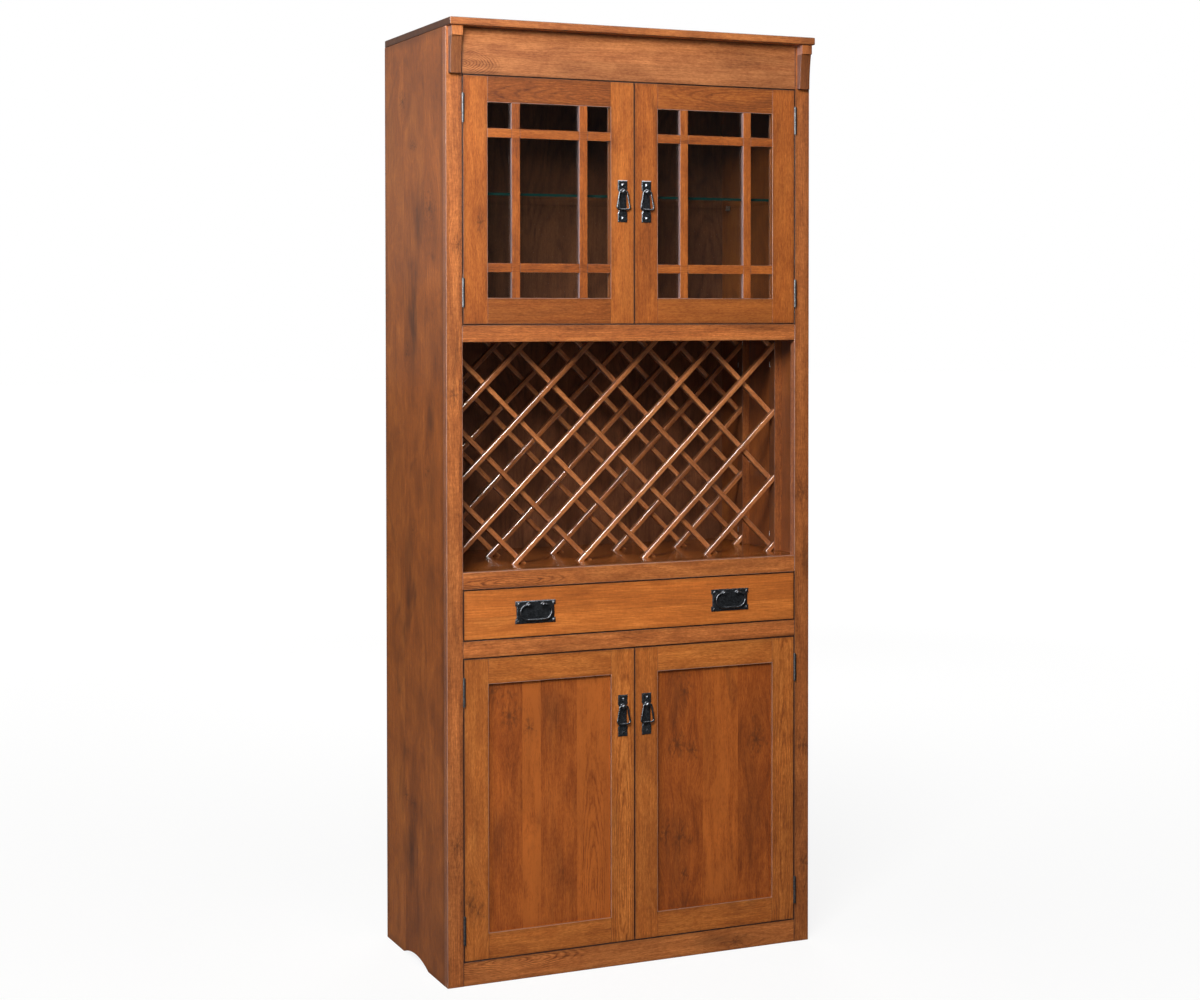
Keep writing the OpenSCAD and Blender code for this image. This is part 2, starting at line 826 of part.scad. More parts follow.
// Four strips that hold the pane in its rebate from behind
module glass_stops(z0, h) {
    x0 = door_x0 + door_stile_w - rebate_w;
    x1 = door_x0 + door_w - door_stile_w + rebate_w;
    low = z0 + door_rail_h - rebate_w;
    high = z0 + h - door_rail_h + rebate_w;
    front = face_y + bar_d + glass_t;
    color(wood_colour) {
        for (x = [x0, x1 - rebate_w]) board([x, front, low], [x + rebate_w, frame_back_y, high]);
        for (z = [low, high - rebate_w])
            board([x0 + rebate_w + glue_gap, front, z],
                  [x1 - rebate_w - glue_gap, frame_back_y, z + rebate_w]);
    }
}

module door_panel(z0, h) {
    reach = groove_d - panel_gap;
    front = face_y + panel_setback + glue_gap;
    color(dark_wood_colour)
        board([door_x0 + door_stile_w - reach, front, z0 + door_rail_h - reach],
              [door_x0 + door_w - door_stile_w + reach, front + panel_t,
               z0 + h - door_rail_h + reach]);
}

// Hinges

// A leaf and its knuckles for one hinge of a left-hand door. The leaf lies on the side
// that side_sign gives, and spans says where its knuckles start and end.
module hinge_leaf(z, side_sign, spans) {
    plate_x = side_sign > 0 ? hinge_gap / 2 : -hinge_gap / 2 - leaf_t;
    plate_y = barrel_r + hinge_gap;
    translate([hinge_x, hinge_y, z])
        difference() {
            union() {
                board([plate_x, plate_y, -hinge_h / 2],
                      [plate_x + leaf_t, axis_out + leaf_d, hinge_h / 2]);
                for (span = spans) {
                    board([plate_x, 0, span[0]], [plate_x + leaf_t, plate_y + leaf_t, span[1]]);
                    translate([0, 0, span[0]]) cylinder(h = span[1] - span[0], r = barrel_r);
                }
            }
            translate([0, 0, -hinge_h])
                cylinder(h = 2 * hinge_h, r = hinge_pin_r + turn_gap);
        }
}

// Leaves let into the face stiles, each with two knuckles, at all eight hinges
module hinge_case_leaves() {
    color(iron_colour) both_sides()
        for (z = hinge_zs)
            hinge_leaf(z, -1, [[-hinge_h / 2, end_knuckle_h - hinge_h / 2],
                               [hinge_h / 2 - end_knuckle_h, hinge_h / 2]]);
}

// Leaves let into a door, each with the middle knuckle
module door_hinge_leaves(door) {
    half = middle_knuckle_h / 2 - hinge_gap;
    color(iron_colour)
        for (i = [0, 1]) hinge_leaf(hinge_zs[2 * door + i], 1, [[-half, half]]);
}

module hinge_pins() {
    color(iron_colour) both_sides()
        for (z = hinge_zs) translate([hinge_x, hinge_y, z]) {
            cylinder(h = hinge_h, r = hinge_pin_r, center = true);
            for (end = [-1, 1])
                translate([0, 0, end * (hinge_h + pin_button_h) / 2])
                    cylinder(h = pin_button_h, r = pin_button_r, center = true);
        }
}

// Pulls

// An iron plate cut to an outline, with its back on the XZ plane
module iron_plate(outline) {
    rotate([90, 0, 0]) linear_extrude(plate_t) polygon(outline);
}

// The full outline of a plate from the half widths and heights up its right-hand edge
function both_edges(right) =
    concat(right, [for (i = [len(right) - 1 : -1 : 0]) [-right[i][0], right[i][1]]]);

// A nail with a faceted head, driven with its corners up and to the sides
module nail(x, z) {
    translate([x, glue_gap - plate_t, z]) rotate([90, 0, 0])
        cylinder(h = nail_h, r1 = nail_r, r2 = 0, $fn = 4);
}

// A round post with a domed end, drilled from side to side for a pivot. It starts inside its
// plate by glue_gap, so that the two are one solid.
module drilled_post(x, z, r, out) {
    length = out + glue_gap;
    translate([x, glue_gap - plate_t, z])
        difference() {
            rotate([90, 0, 0]) rotate_extrude() intersection() {
                union() {
                    translate([-r, 0]) square([2 * r, length]);
                    translate([0, length]) circle(r = r);
                }
                square([2 * r, length + 2 * r]);
            }
            translate([0, -length, 0]) rotate([0, 90, 0])
                cylinder(h = 4 * r, r = pivot_r + turn_gap, center = true);
        }
}

// The iron plate of a door pull, with the middle of its back at the origin
module pull_plate() {
    color(iron_colour) {
        iron_plate(both_edges([
            [pull_w / 2, -pull_h / 2], [pull_w / 2, lower_pad_h - pull_h / 2],
            [neck_w / 2, lower_pad_h + flare_h - pull_h / 2],
            [neck_w / 2, pull_h / 2 - upper_pad_h - flare_h],
            [pull_w / 2, pull_h / 2 - upper_pad_h], [pull_w / 2, pull_h / 2]]));
        drilled_post(0, pull_h / 2 - pivot_down, boss_r, pivot_out);
        for (end = [-1, 1]) nail(0, end * (pull_h / 2 - nail_inset));
    }
}

// The iron ring of a door pull: a pin through the boss, two sides that spread downwards and
// a bottom bar, with round corners. The origin is the middle of the back of its plate.
module pull_ring() {
    y = -plate_t - pivot_out;
    top = pull_h / 2 - pivot_down;
    bottom = top - ring_drop;
    half_top = ring_top_w / 2;
    half_bottom = ring_bottom_w / 2;
    bar_r = ring_bar_r - bar_taper;
    lean = atan2(ring_drop, half_top - half_bottom);
    // Lengths that the round corners take off the straight bars
    top_cut = ring_eye_r / tan(lean / 2);
    bottom_cut = ring_corner_r / tan((180 - lean) / 2);
    color(iron_colour) {
        bar_between([top_cut - half_top, top], [half_top - top_cut, top], y, pivot_r);
        bar_between([bottom_cut - half_bottom, bottom], [half_bottom - bottom_cut, bottom],
                    y, bar_r, bar_lap);
        both_sides() {
            bar_between([boss_r + hinge_gap + bar_lap, top], [half_top - top_cut, top],
                        y, bar_r, bar_lap);
            bend([half_top - top_cut, top - ring_eye_r], y, ring_eye_r, ring_bar_r,
                 lean - 90, 180 - lean);
            bar_between([half_top - top_cut * cos(lean), top - top_cut * sin(lean)],
                        [half_bottom + bottom_cut * cos(lean), bottom + bottom_cut * sin(lean)],
                        y, bar_r, bar_lap);
            bend([half_bottom - bottom_cut, bottom + ring_corner_r], y, ring_corner_r, ring_bar_r,
                 -90, lean);
        }
    }
}

// The two iron plates on the drawer front, each with four nails and two posts
module drawer_pull_plates() {
    half_h = bail_plate_h / 2;
    half_w = bail_plate_w / 2;
    color(iron_colour) both_sides()
        translate([bail_x, face_y, drawer_pull_z]) {
            iron_plate(both_edges([
                [half_w, -half_h], [half_w, ear_h - half_h], [half_w - ear_step, ear_h - half_h],
                [half_w - ear_step, half_h - ear_h], [half_w, half_h - ear_h], [half_w, half_h]]));
            for (x = [-1, 1], z = [-1, 1])
                nail(x * (half_w - bail_nail_x), z * (half_h - bail_nail_z));
            for (x = [-1, 1]) drilled_post(x * post_pitch / 2, half_h - post_down, post_r, pivot_out);
        }
}

// A bail of round wire in the shape of a D, hung from two pins in the posts
module drawer_bail(x) {
    y = face_y - plate_t - pivot_out;
    top = drawer_pull_z + bail_plate_h / 2 - post_down;
    half_w = bail_w / 2;
    wire_r = bail_wire_r - bar_taper;
    pin_x0 = post_pitch / 2 - post_r - hinge_gap;
    pin_x1 = post_pitch / 2 + post_r + hinge_gap;
    corner_x = half_w - bail_corner_r;
    bottom_r = bail_drop - bail_corner_r;
    bottom_x = half_w - bottom_r;
    color(iron_colour) translate([x, 0, 0]) {
        both_sides() {
            bar_between([pin_x0, top], [corner_x, top], y, pivot_r);
            bar_between([pin_x1, top], [corner_x, top], y, wire_r);
            bend([corner_x, top - bail_corner_r], y, bail_corner_r, bail_wire_r, 0, 90);
            bend([bottom_x, top - bail_corner_r], y, bottom_r, bail_wire_r, -90, 90);
        }
        bar_between([-bottom_x, top - bail_drop], [bottom_x, top - bail_drop], y, wire_r, bar_lap);
    }
}

module drawer_bail_left() {
    drawer_bail(-bail_x);
}

module drawer_bail_right() {
    drawer_bail(bail_x);
}

// Magnetic catches behind the meeting stiles, one at the top of each pair of doors
module door_catches() {
    color(steel_colour)
        for (z = [display_z1, cupboard_z1]) {
            board([-catch_w / 2, frame_back_y, z], [catch_w / 2, frame_back_y + catch_d, z + catch_rise]);
            board([-catch_w / 2, frame_back_y + catch_gap, z - catch_drop],
                  [catch_w / 2, frame_back_y + catch_d, z]);
        }
}

// Named pieces of the four doors

module glass_door_left_frame() { door_frame(glass_door_z0, glass_door_h, true); }
module glass_door_left_bars() { glazing_bars(glass_door_z0, glass_door_h); }
module glass_door_left_glass() { pane(glass_door_z0, glass_door_h); }
module glass_door_left_stops() { glass_stops(glass_door_z0, glass_door_h); }
module glass_door_left_hinge_leaves() { door_hinge_leaves(0); }
module glass_door_left_pull_plate() { translate([pull_x, face_y, upper_pull_z]) pull_plate(); }
module glass_door_left_pull_ring() { translate([pull_x, face_y, upper_pull_z]) pull_ring(); }
module glass_door_right_frame() { mirror([1, 0, 0]) glass_door_left_frame(); }
module glass_door_right_bars() { mirror([1, 0, 0]) glass_door_left_bars(); }
module glass_door_right_glass() { mirror([1, 0, 0]) glass_door_left_glass(); }
module glass_door_right_stops() { mirror([1, 0, 0]) glass_door_left_stops(); }
module glass_door_right_hinge_leaves() { mirror([1, 0, 0]) glass_door_left_hinge_leaves(); }
module glass_door_right_pull_plate() { mirror([1, 0, 0]) glass_door_left_pull_plate(); }
module glass_door_right_pull_ring() { mirror([1, 0, 0]) glass_door_left_pull_ring(); }

module panel_door_left_frame() { door_frame(panel_door_z0, panel_door_h, false); }
module panel_door_left_panel() { door_panel(panel_door_z0, panel_door_h); }
module panel_door_left_hinge_leaves() { door_hinge_leaves(1); }
module panel_door_left_pull_plate() { translate([pull_x, face_y, lower_pull_z]) pull_plate(); }
module panel_door_left_pull_ring() { translate([pull_x, face_y, lower_pull_z]) pull_ring(); }
module panel_door_right_frame() { mirror([1, 0, 0]) panel_door_left_frame(); }
module panel_door_right_panel() { mirror([1, 0, 0]) panel_door_left_panel(); }
module panel_door_right_hinge_leaves() { mirror([1, 0, 0]) panel_door_left_hinge_leaves(); }
module panel_door_right_pull_plate() { mirror([1, 0, 0]) panel_door_left_pull_plate(); }
module panel_door_right_pull_ring() { mirror([1, 0, 0]) panel_door_left_pull_ring(); }

side_left();
side_right();
back_panel();
top_board();
top_cleats();
face_stile_left();
face_stile_right();
frieze_rail();
rail_above_wine_bay();
rail_below_wine_bay();
rail_below_drawer();
base_rail();
corbels();
display_floor();
wine_bay_floor();
drawer_deck();
cupboard_floor();
glass_shelf();
cupboard_shelf();
shelf_pins();
front_lattice();
rear_lattice();
lattice_cleats();
slide_blocks();
slide_case_members();
slide_middle_members();
hinge_case_leaves();
hinge_pins();
door_catches();
glass_door_left_frame();
glass_door_left_bars();
glass_door_left_glass();
glass_door_left_stops();
glass_door_left_hinge_leaves();
glass_door_left_pull_plate();
glass_door_left_pull_ring();
glass_door_right_frame();
glass_door_right_bars();
glass_door_right_glass();
glass_door_right_stops();
glass_door_right_hinge_leaves();
glass_door_right_pull_plate();
glass_door_right_pull_ring();
panel_door_left_frame();
panel_door_left_panel();
panel_door_left_hinge_leaves();
panel_door_left_pull_plate();
panel_door_left_pull_ring();
panel_door_right_frame();
panel_door_right_panel();
panel_door_right_hinge_leaves();
panel_door_right_pull_plate();
panel_door_right_pull_ring();
drawer_front();
drawer_box();
drawer_bottom();
drawer_slide_members();
drawer_pull_plates();
drawer_bail_left();
drawer_bail_right();
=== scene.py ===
import math
import random

import bmesh
import bpy
from mathutils import Matrix, Vector


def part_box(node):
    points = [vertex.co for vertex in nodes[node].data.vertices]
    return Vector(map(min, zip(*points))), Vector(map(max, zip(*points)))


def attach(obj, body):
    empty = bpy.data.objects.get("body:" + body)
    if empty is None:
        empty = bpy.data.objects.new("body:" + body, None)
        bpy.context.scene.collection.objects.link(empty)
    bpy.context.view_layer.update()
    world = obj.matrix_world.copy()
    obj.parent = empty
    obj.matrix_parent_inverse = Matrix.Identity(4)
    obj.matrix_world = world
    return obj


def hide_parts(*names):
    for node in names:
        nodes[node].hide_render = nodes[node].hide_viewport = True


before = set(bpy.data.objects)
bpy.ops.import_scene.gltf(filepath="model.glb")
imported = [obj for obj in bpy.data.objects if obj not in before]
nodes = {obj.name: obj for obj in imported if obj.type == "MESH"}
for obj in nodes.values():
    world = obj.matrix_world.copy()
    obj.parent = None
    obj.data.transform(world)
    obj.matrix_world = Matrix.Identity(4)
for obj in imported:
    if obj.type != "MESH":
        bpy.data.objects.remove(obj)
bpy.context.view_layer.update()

# The camera stands to the left of the cabinet at eye height and looks along a line a little
# below level. Its frame is shifted down, which keeps the uprights upright.

camera_place = (-2.0022, -4.5519, 1.4892)
camera_turn, camera_dip, camera_roll = -23.766, 1.254, -0.05
camera_data = bpy.data.cameras.new("camera")
camera_data.sensor_fit = "HORIZONTAL"
camera_data.sensor_width = 36
camera_data.lens = 63.14
camera_data.shift_y = -0.1173
camera_data.clip_end = 200
camera = bpy.data.objects.new("camera", camera_data)
bpy.context.scene.collection.objects.link(camera)
camera.matrix_world = (Matrix.Translation(camera_place)
                       @ Matrix.Rotation(math.radians(camera_turn), 4, "Z")
                       @ Matrix.Rotation(math.radians(90 - camera_dip), 4, "X")
                       @ Matrix.Rotation(math.radians(camera_roll), 4, "Z"))
bpy.context.scene.camera = camera

# The studio: a pale floor and a white backdrop, a soft light high in front on the left, a weak
# one lower down and one behind. White paper stands behind and to the left. Three strips and a
# sheet of paper light nothing, and only draw highlights on arrises, slats and iron.

bpy.context.scene.view_settings.view_transform = "Standard"


def put(tree, kind, inputs=None, **settings):
    """Adds a shader node, sets it and joins or fills its inputs."""
    node = tree.nodes.new("ShaderNode" + kind)
    for name, value in settings.items():
        setattr(node, name, value)
    for key, value in (inputs or {}).items():
        if isinstance(value, bpy.types.NodeSocket):
            tree.links.new(value, node.inputs[key])
        else:
            node.inputs[key].default_value = value
    return node


def calc(tree, operation, *values):
    """The output of one Math node."""
    return put(tree, "Math", dict(enumerate(values)), operation=operation).outputs[0]


def between(tree, value, start, end, first, last, kind="SMOOTHSTEP"):
    """Turns a value that runs from start to end into one that runs from first to last."""
    return put(tree, "MapRange", {0: value, 1: start, 2: end, 3: first, 4: last},
               interpolation_type=kind).outputs[0]


def mixed_colour(tree, amount, under, over, kind="MIX"):
    """One colour laid over another."""
    return put(tree, "Mix", {0: amount, 6: under, 7: over}, data_type="RGBA",
               blend_type=kind).outputs[2]


def bare_material(name):
    """A new material, its node tree, and the output, which is the only node there."""
    material = bpy.data.materials.new(name)
    material.use_nodes = True
    tree = material.node_tree
    tree.nodes.clear()
    return material, tree, put(tree, "OutputMaterial")


def looked_at(tree):
    """1 for the rays that the camera sees, straight or through glass, and 0 for others."""
    path = put(tree, "LightPath")
    return calc(tree, "MAXIMUM", path.outputs["Is Camera Ray"], path.outputs["Is Transmission Ray"])


def studio_surround():
    """White where it is looked at. Elsewhere the paper behind and to the left is lit, and the
    room in front of the cabinet is dim."""
    world = bpy.data.worlds.new("studio surround")
    bpy.context.scene.world = world
    world.use_nodes = True
    tree = world.node_tree
    tree.nodes.clear()
    towards = put(tree, "SeparateXYZ", {0: put(tree, "TexCoord").outputs["Generated"]}).outputs
    behind = between(tree, towards[1], -0.25, 0.45, 0.035, 0.22)
    left = between(tree, towards[0], -0.5, -0.92, 0.0, 0.42)
    soft = put(tree, "Background", {"Color": (1, 0.98, 0.95, 1),
                                    "Strength": calc(tree, "ADD", behind, left)})
    white = put(tree, "Background", {"Color": (1, 1, 1, 1), "Strength": 1})
    mixed = put(tree, "MixShader", {0: looked_at(tree), 1: soft.outputs[0], 2: white.outputs[0]})
    tree.links.new(mixed.outputs[0], put(tree, "OutputWorld").inputs[0])


def studio_floor():
    """A wide sheet of pale paper, which looks whiter further away."""
    mesh = bpy.data.meshes.new("studio_floor")
    reach = 40
    corners = [(-reach, -reach, 0), (reach, -reach, 0), (reach, reach, 0), (-reach, reach, 0)]
    mesh.from_pydata(corners, [], [(0, 1, 2, 3)])
    floor = bpy.data.objects.new("studio_floor", mesh)
    bpy.context.scene.collection.objects.link(floor)
    material, tree, out = bare_material("pale studio floor")
    place = put(tree, "NewGeometry").outputs["Position"]
    away = put(tree, "VectorMath", {0: place}, operation="LENGTH").outputs["Value"]
    whiter = between(tree, away, 1.0, 6.0, 0.865, 1.0, "LINEAR")
    paper = put(tree, "BsdfDiffuse", {"Color": (0.14, 0.14, 0.138, 1)})
    glow = put(tree, "Emission", {"Color": (1, 1, 1, 1),
                                  "Strength": calc(tree, "MULTIPLY", whiter, looked_at(tree))})
    both = put(tree, "AddShader", {0: paper.outputs[0], 1: glow.outputs[0]})
    tree.links.new(both.outputs[0], out.inputs[0])
    mesh.materials.append(material)


def soft_light(name, place, aim, width, height, power, lights=True, mirrored=True):
    """A lamp that faces a point. lights says whether it lights matt surfaces, and mirrored
    whether it shows in shiny ones."""
    data = bpy.data.lights.new(name, "AREA")
    data.shape = "RECTANGLE"
    data.size = width
    data.size_y = height
    data.energy = power
    lamp = bpy.data.objects.new(name, data)
    lamp.visible_diffuse, lamp.visible_glossy = lights, mirrored
    bpy.context.scene.collection.objects.link(lamp)
    lamp.location = place
    lamp.rotation_euler = (Vector(aim) - Vector(place)).to_track_quat("-Z", "Y").to_euler()


studio_surround()
studio_floor()
soft_light("high front light", (-1.8, -2.7, 3.0), (0, 0, 1.5), 1.2, 1.2, 143)
soft_light("low front light", (-0.6, -4.4, 1.3), (0, 0, 1.0), 1.6, 1.6, 15, mirrored=False)
soft_light("back light", (1.7, 3.3, 2.4), (0, 0.2, 1.1), 1.8, 1.8, 48, mirrored=False)
soft_light("left strip", (-3.0, -1.5, 1.95), (0, 0, 1.45), 1.1, 2.2, 225, lights=False)
soft_light("top strip", (0.7, -1.1, 3.9), (0, -0.2, 1.2), 2.4, 0.8, 75, lights=False)
soft_light("high left strip", (-1.15, -1.9, 3.5), (0, -0.1, 1.15), 0.5, 1.4, 108, lights=False)
soft_light("paper behind", (-2.1, 3.0, 2.3), (-0.45, 0, 1.8), 1.6, 1.4, 1.2, lights=False)

# The sides are glued up from upright maple boards, stained brown and lacquered. Each has a
# shallow arch cut between its feet, and a rebate behind for the back panel.

# Dark, middle and light tones of the stained wood, then the tone of knots, joint lines and
# painted shade, the tone of a painted sheen on narrow faces, and that of pale arrises, partly
# wear and partly a painted highlight
medium_stain = ((0.185, 0.048, 0.0105), (0.42, 0.119, 0.026), (0.68, 0.230, 0.056))
dark_stain_and_shade_tone = (0.070, 0.020, 0.0055, 1)
painted_sheen_tone = (0.34, 0.26, 0.27, 1)
worn_highlit_arris = (0.62, 0.43, 0.37, 1)


def along_and_across(tree, x, y, z, run):
    """Places along, across and through a board. run is the two axes along and across it, or the
    lean in degrees of a board that leans in the XZ plane."""
    if isinstance(run, str):
        by_name = {"x": x, "y": y, "z": z}
        through = [axis for axis in "xyz" if axis not in run][0]
        return by_name[run[0]], by_name[run[1]], by_name[through]
    cosine, sine = math.cos(math.radians(run)), math.sin(math.radians(run))
    along = calc(tree, "MULTIPLY_ADD", x, cosine, calc(tree, "MULTIPLY", z, sine))
    across = calc(tree, "MULTIPLY_ADD", z, cosine, calc(tree, "MULTIPLY", x, -sine))
    return along, across, y


def noise(tree, place, scale, detail, roughness=0.5, swirl=0.0):
    """The value of one Noise Texture node."""
    return put(tree, "TexNoise", {"Vector": place, "Scale": scale, "Detail": detail,
                                  "Roughness": roughness, "Distortion": swirl}).outputs[0]


def grain_noise(tree, place, stretch, detail=2.0, roughness=0.5, swirl=0.0):
    """Noise drawn out along the grain. stretch is how often it changes per metre along and
    across the board."""
    drawn = [calc(tree, "MULTIPLY", part, often)
             for part, often in zip(place, (stretch[0], stretch[1], stretch[1]))]
    vector = put(tree, "CombineXYZ", dict(enumerate(drawn))).outputs[0]
    return noise(tree, vector, 1.0, detail, roughness, swirl)


def ramp(tree, value, *stops):
    """A colour that runs through (place, colour) stops as a value grows."""
    node = put(tree, "ValToRGB", {0: value})
    elements = node.color_ramp.elements
    for element, (place, colour) in zip(elements, (stops[0], stops[-1])):
        element.position = place
        element.color = (*colour, 1)
    for place, colour in stops[1:-1]:
        elements.new(place).color = (*colour, 1)
    return node.outputs[0]


def span(tree, one_way, other_way):
    """The straight distance, from the distances in two directions that are square."""
    return calc(tree, "SQRT", calc(tree, "MULTIPLY_ADD", one_way, one_way,
                                   calc(tree, "MULTIPLY", other_way, other_way)))


def off_middle(tree, place, low, high):
    """How far a place is from half-way between two others."""
    return calc(tree, "ABSOLUTE", calc(tree, "SUBTRACT", place, (low + high) / 2))


def from_arris(node):
    """For a plain board: how far a place on its surface is from the nearest arris."""
    low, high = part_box(node)

    def inward(tree, *place):
        to_face = [calc(tree, "SUBTRACT", (b - a) / 2, off_middle(tree, p, a, b))
                   for p, a, b in zip(place, low, high)]
        pairs = [calc(tree, "MAXIMUM", to_face[i], to_face[j]) for i, j in ((0, 1), (1, 2), (0, 2))]
        return calc(tree, "MINIMUM", calc(tree, "MINIMUM", pairs[0], pairs[1]), pairs[2])

    return inward


boards_before = 50.37


def which_board(tree, across, boards, joints):
    """The number of the board that a place is on, counted from far outside, and how its tone
    steps. boards is the width of the boards, or joints gives where they meet and the steps."""
    if joints is None:
        from_first = calc(tree, "ADD", across, boards_before * boards)
        return calc(tree, "FLOOR", calc(tree, "DIVIDE", from_first, boards)), 0.0
    board, step = math.floor(boards_before), 0.0
    for place, tone_step in joints:
        beyond = calc(tree, "GREATER_THAN", across, place)
        board = calc(tree, "ADD", beyond, board)
        step = calc(tree, "MULTIPLY_ADD", beyond, tone_step, step)
    return board, step


def knots_in(tree, along, place, knots, squash):
    """How dark the knots make a place, and how far the grain bends round them there. A knot is
    (along, across, radius) with, for a long smudge, how far it is drawn out and how dark it is."""
    across = place[1]
    dark = 0.0
    bend = 0.0
    ragged = grain_noise(tree, place, (16.0, 60.0), 3.0, 0.6) if knots else 0.0
    for knot_along, knot_across, radius, *smudge in knots:
        drawn, depth_of_it = smudge or (squash, 0.55)
        off_along = calc(tree, "MULTIPLY", calc(tree, "SUBTRACT", along, knot_along), drawn)
        off_across = calc(tree, "SUBTRACT", across, knot_across)
        away = span(tree, off_along, off_across)
        if smudge:
            torn = calc(tree, "MULTIPLY_ADD", ragged, 4.0 * radius,
                        calc(tree, "SUBTRACT", away, 2.0 * radius))
            cloudy = between(tree, torn, -0.8 * radius, 2.4 * radius, depth_of_it, 0.0)
            dark = calc(tree, "MAXIMUM", cloudy, dark)
            continue
        # Dark rays run out from the knot's core into the wood round it
        reach = calc(tree, "DIVIDE", 2.4, calc(tree, "MAXIMUM", away, 0.0003))
        rays = noise(tree, put(tree, "CombineXYZ", {
            0: calc(tree, "MULTIPLY", off_along, reach),
            1: calc(tree, "MULTIPLY", off_across, reach),
            2: calc(tree, "MULTIPLY_ADD", away, 110.0, 31.0 * knot_along)}).outputs[0], 1.0, 3.0, 0.6)
        torn = calc(tree, "MULTIPLY_ADD", rays, -7.0 * radius, calc(tree, "ADD", away, 3.4 * radius))
        core = between(tree, away, 0.08 * radius, 0.40 * radius, 0.7, 0.0)
        halo = between(tree, torn, -0.9 * radius, 1.5 * radius, depth_of_it, 0.0)
        dark = calc(tree, "MAXIMUM", calc(tree, "MAXIMUM", core, halo), dark)
        round_it = between(tree, away, 0.0, 5 * radius, 1.3 * radius, 0.0, "SMOOTHERSTEP")
        bend = calc(tree, "MULTIPLY_ADD", round_it, calc(tree, "SIGN", off_across), bend)
    return dark, bend


def late_wood(tree, place, from_pith, depth, ring, reach):
    """How much of the growth rings' dark late wood shows at a place, which is so far beside the
    pith and so far above it. With a reach, the rings fade out at that distance."""
    radial = span(tree, from_pith, depth)
    uneven = grain_noise(tree, place, (30.0, 60.0))
    rings_show = 1.0
    if reach is not None:
        rings_show = between(tree, radial, 0.7 * reach, reach, 1.0, 0.0, "LINEAR")
        radial = calc(tree, "MULTIPLY_ADD", uneven, 0.006, radial)
    wave = calc(tree, "SINE", calc(tree, "MULTIPLY", radial, 2 * math.pi / ring))
    late = calc(tree, "POWER", calc(tree, "MULTIPLY_ADD", wave, 0.5, 0.5), 2.5)
    shown = calc(tree, "MULTIPLY", rings_show, calc(tree, "MULTIPLY_ADD", uneven, 2.4, -0.3))
    return calc(tree, "MULTIPLY", late, shown)


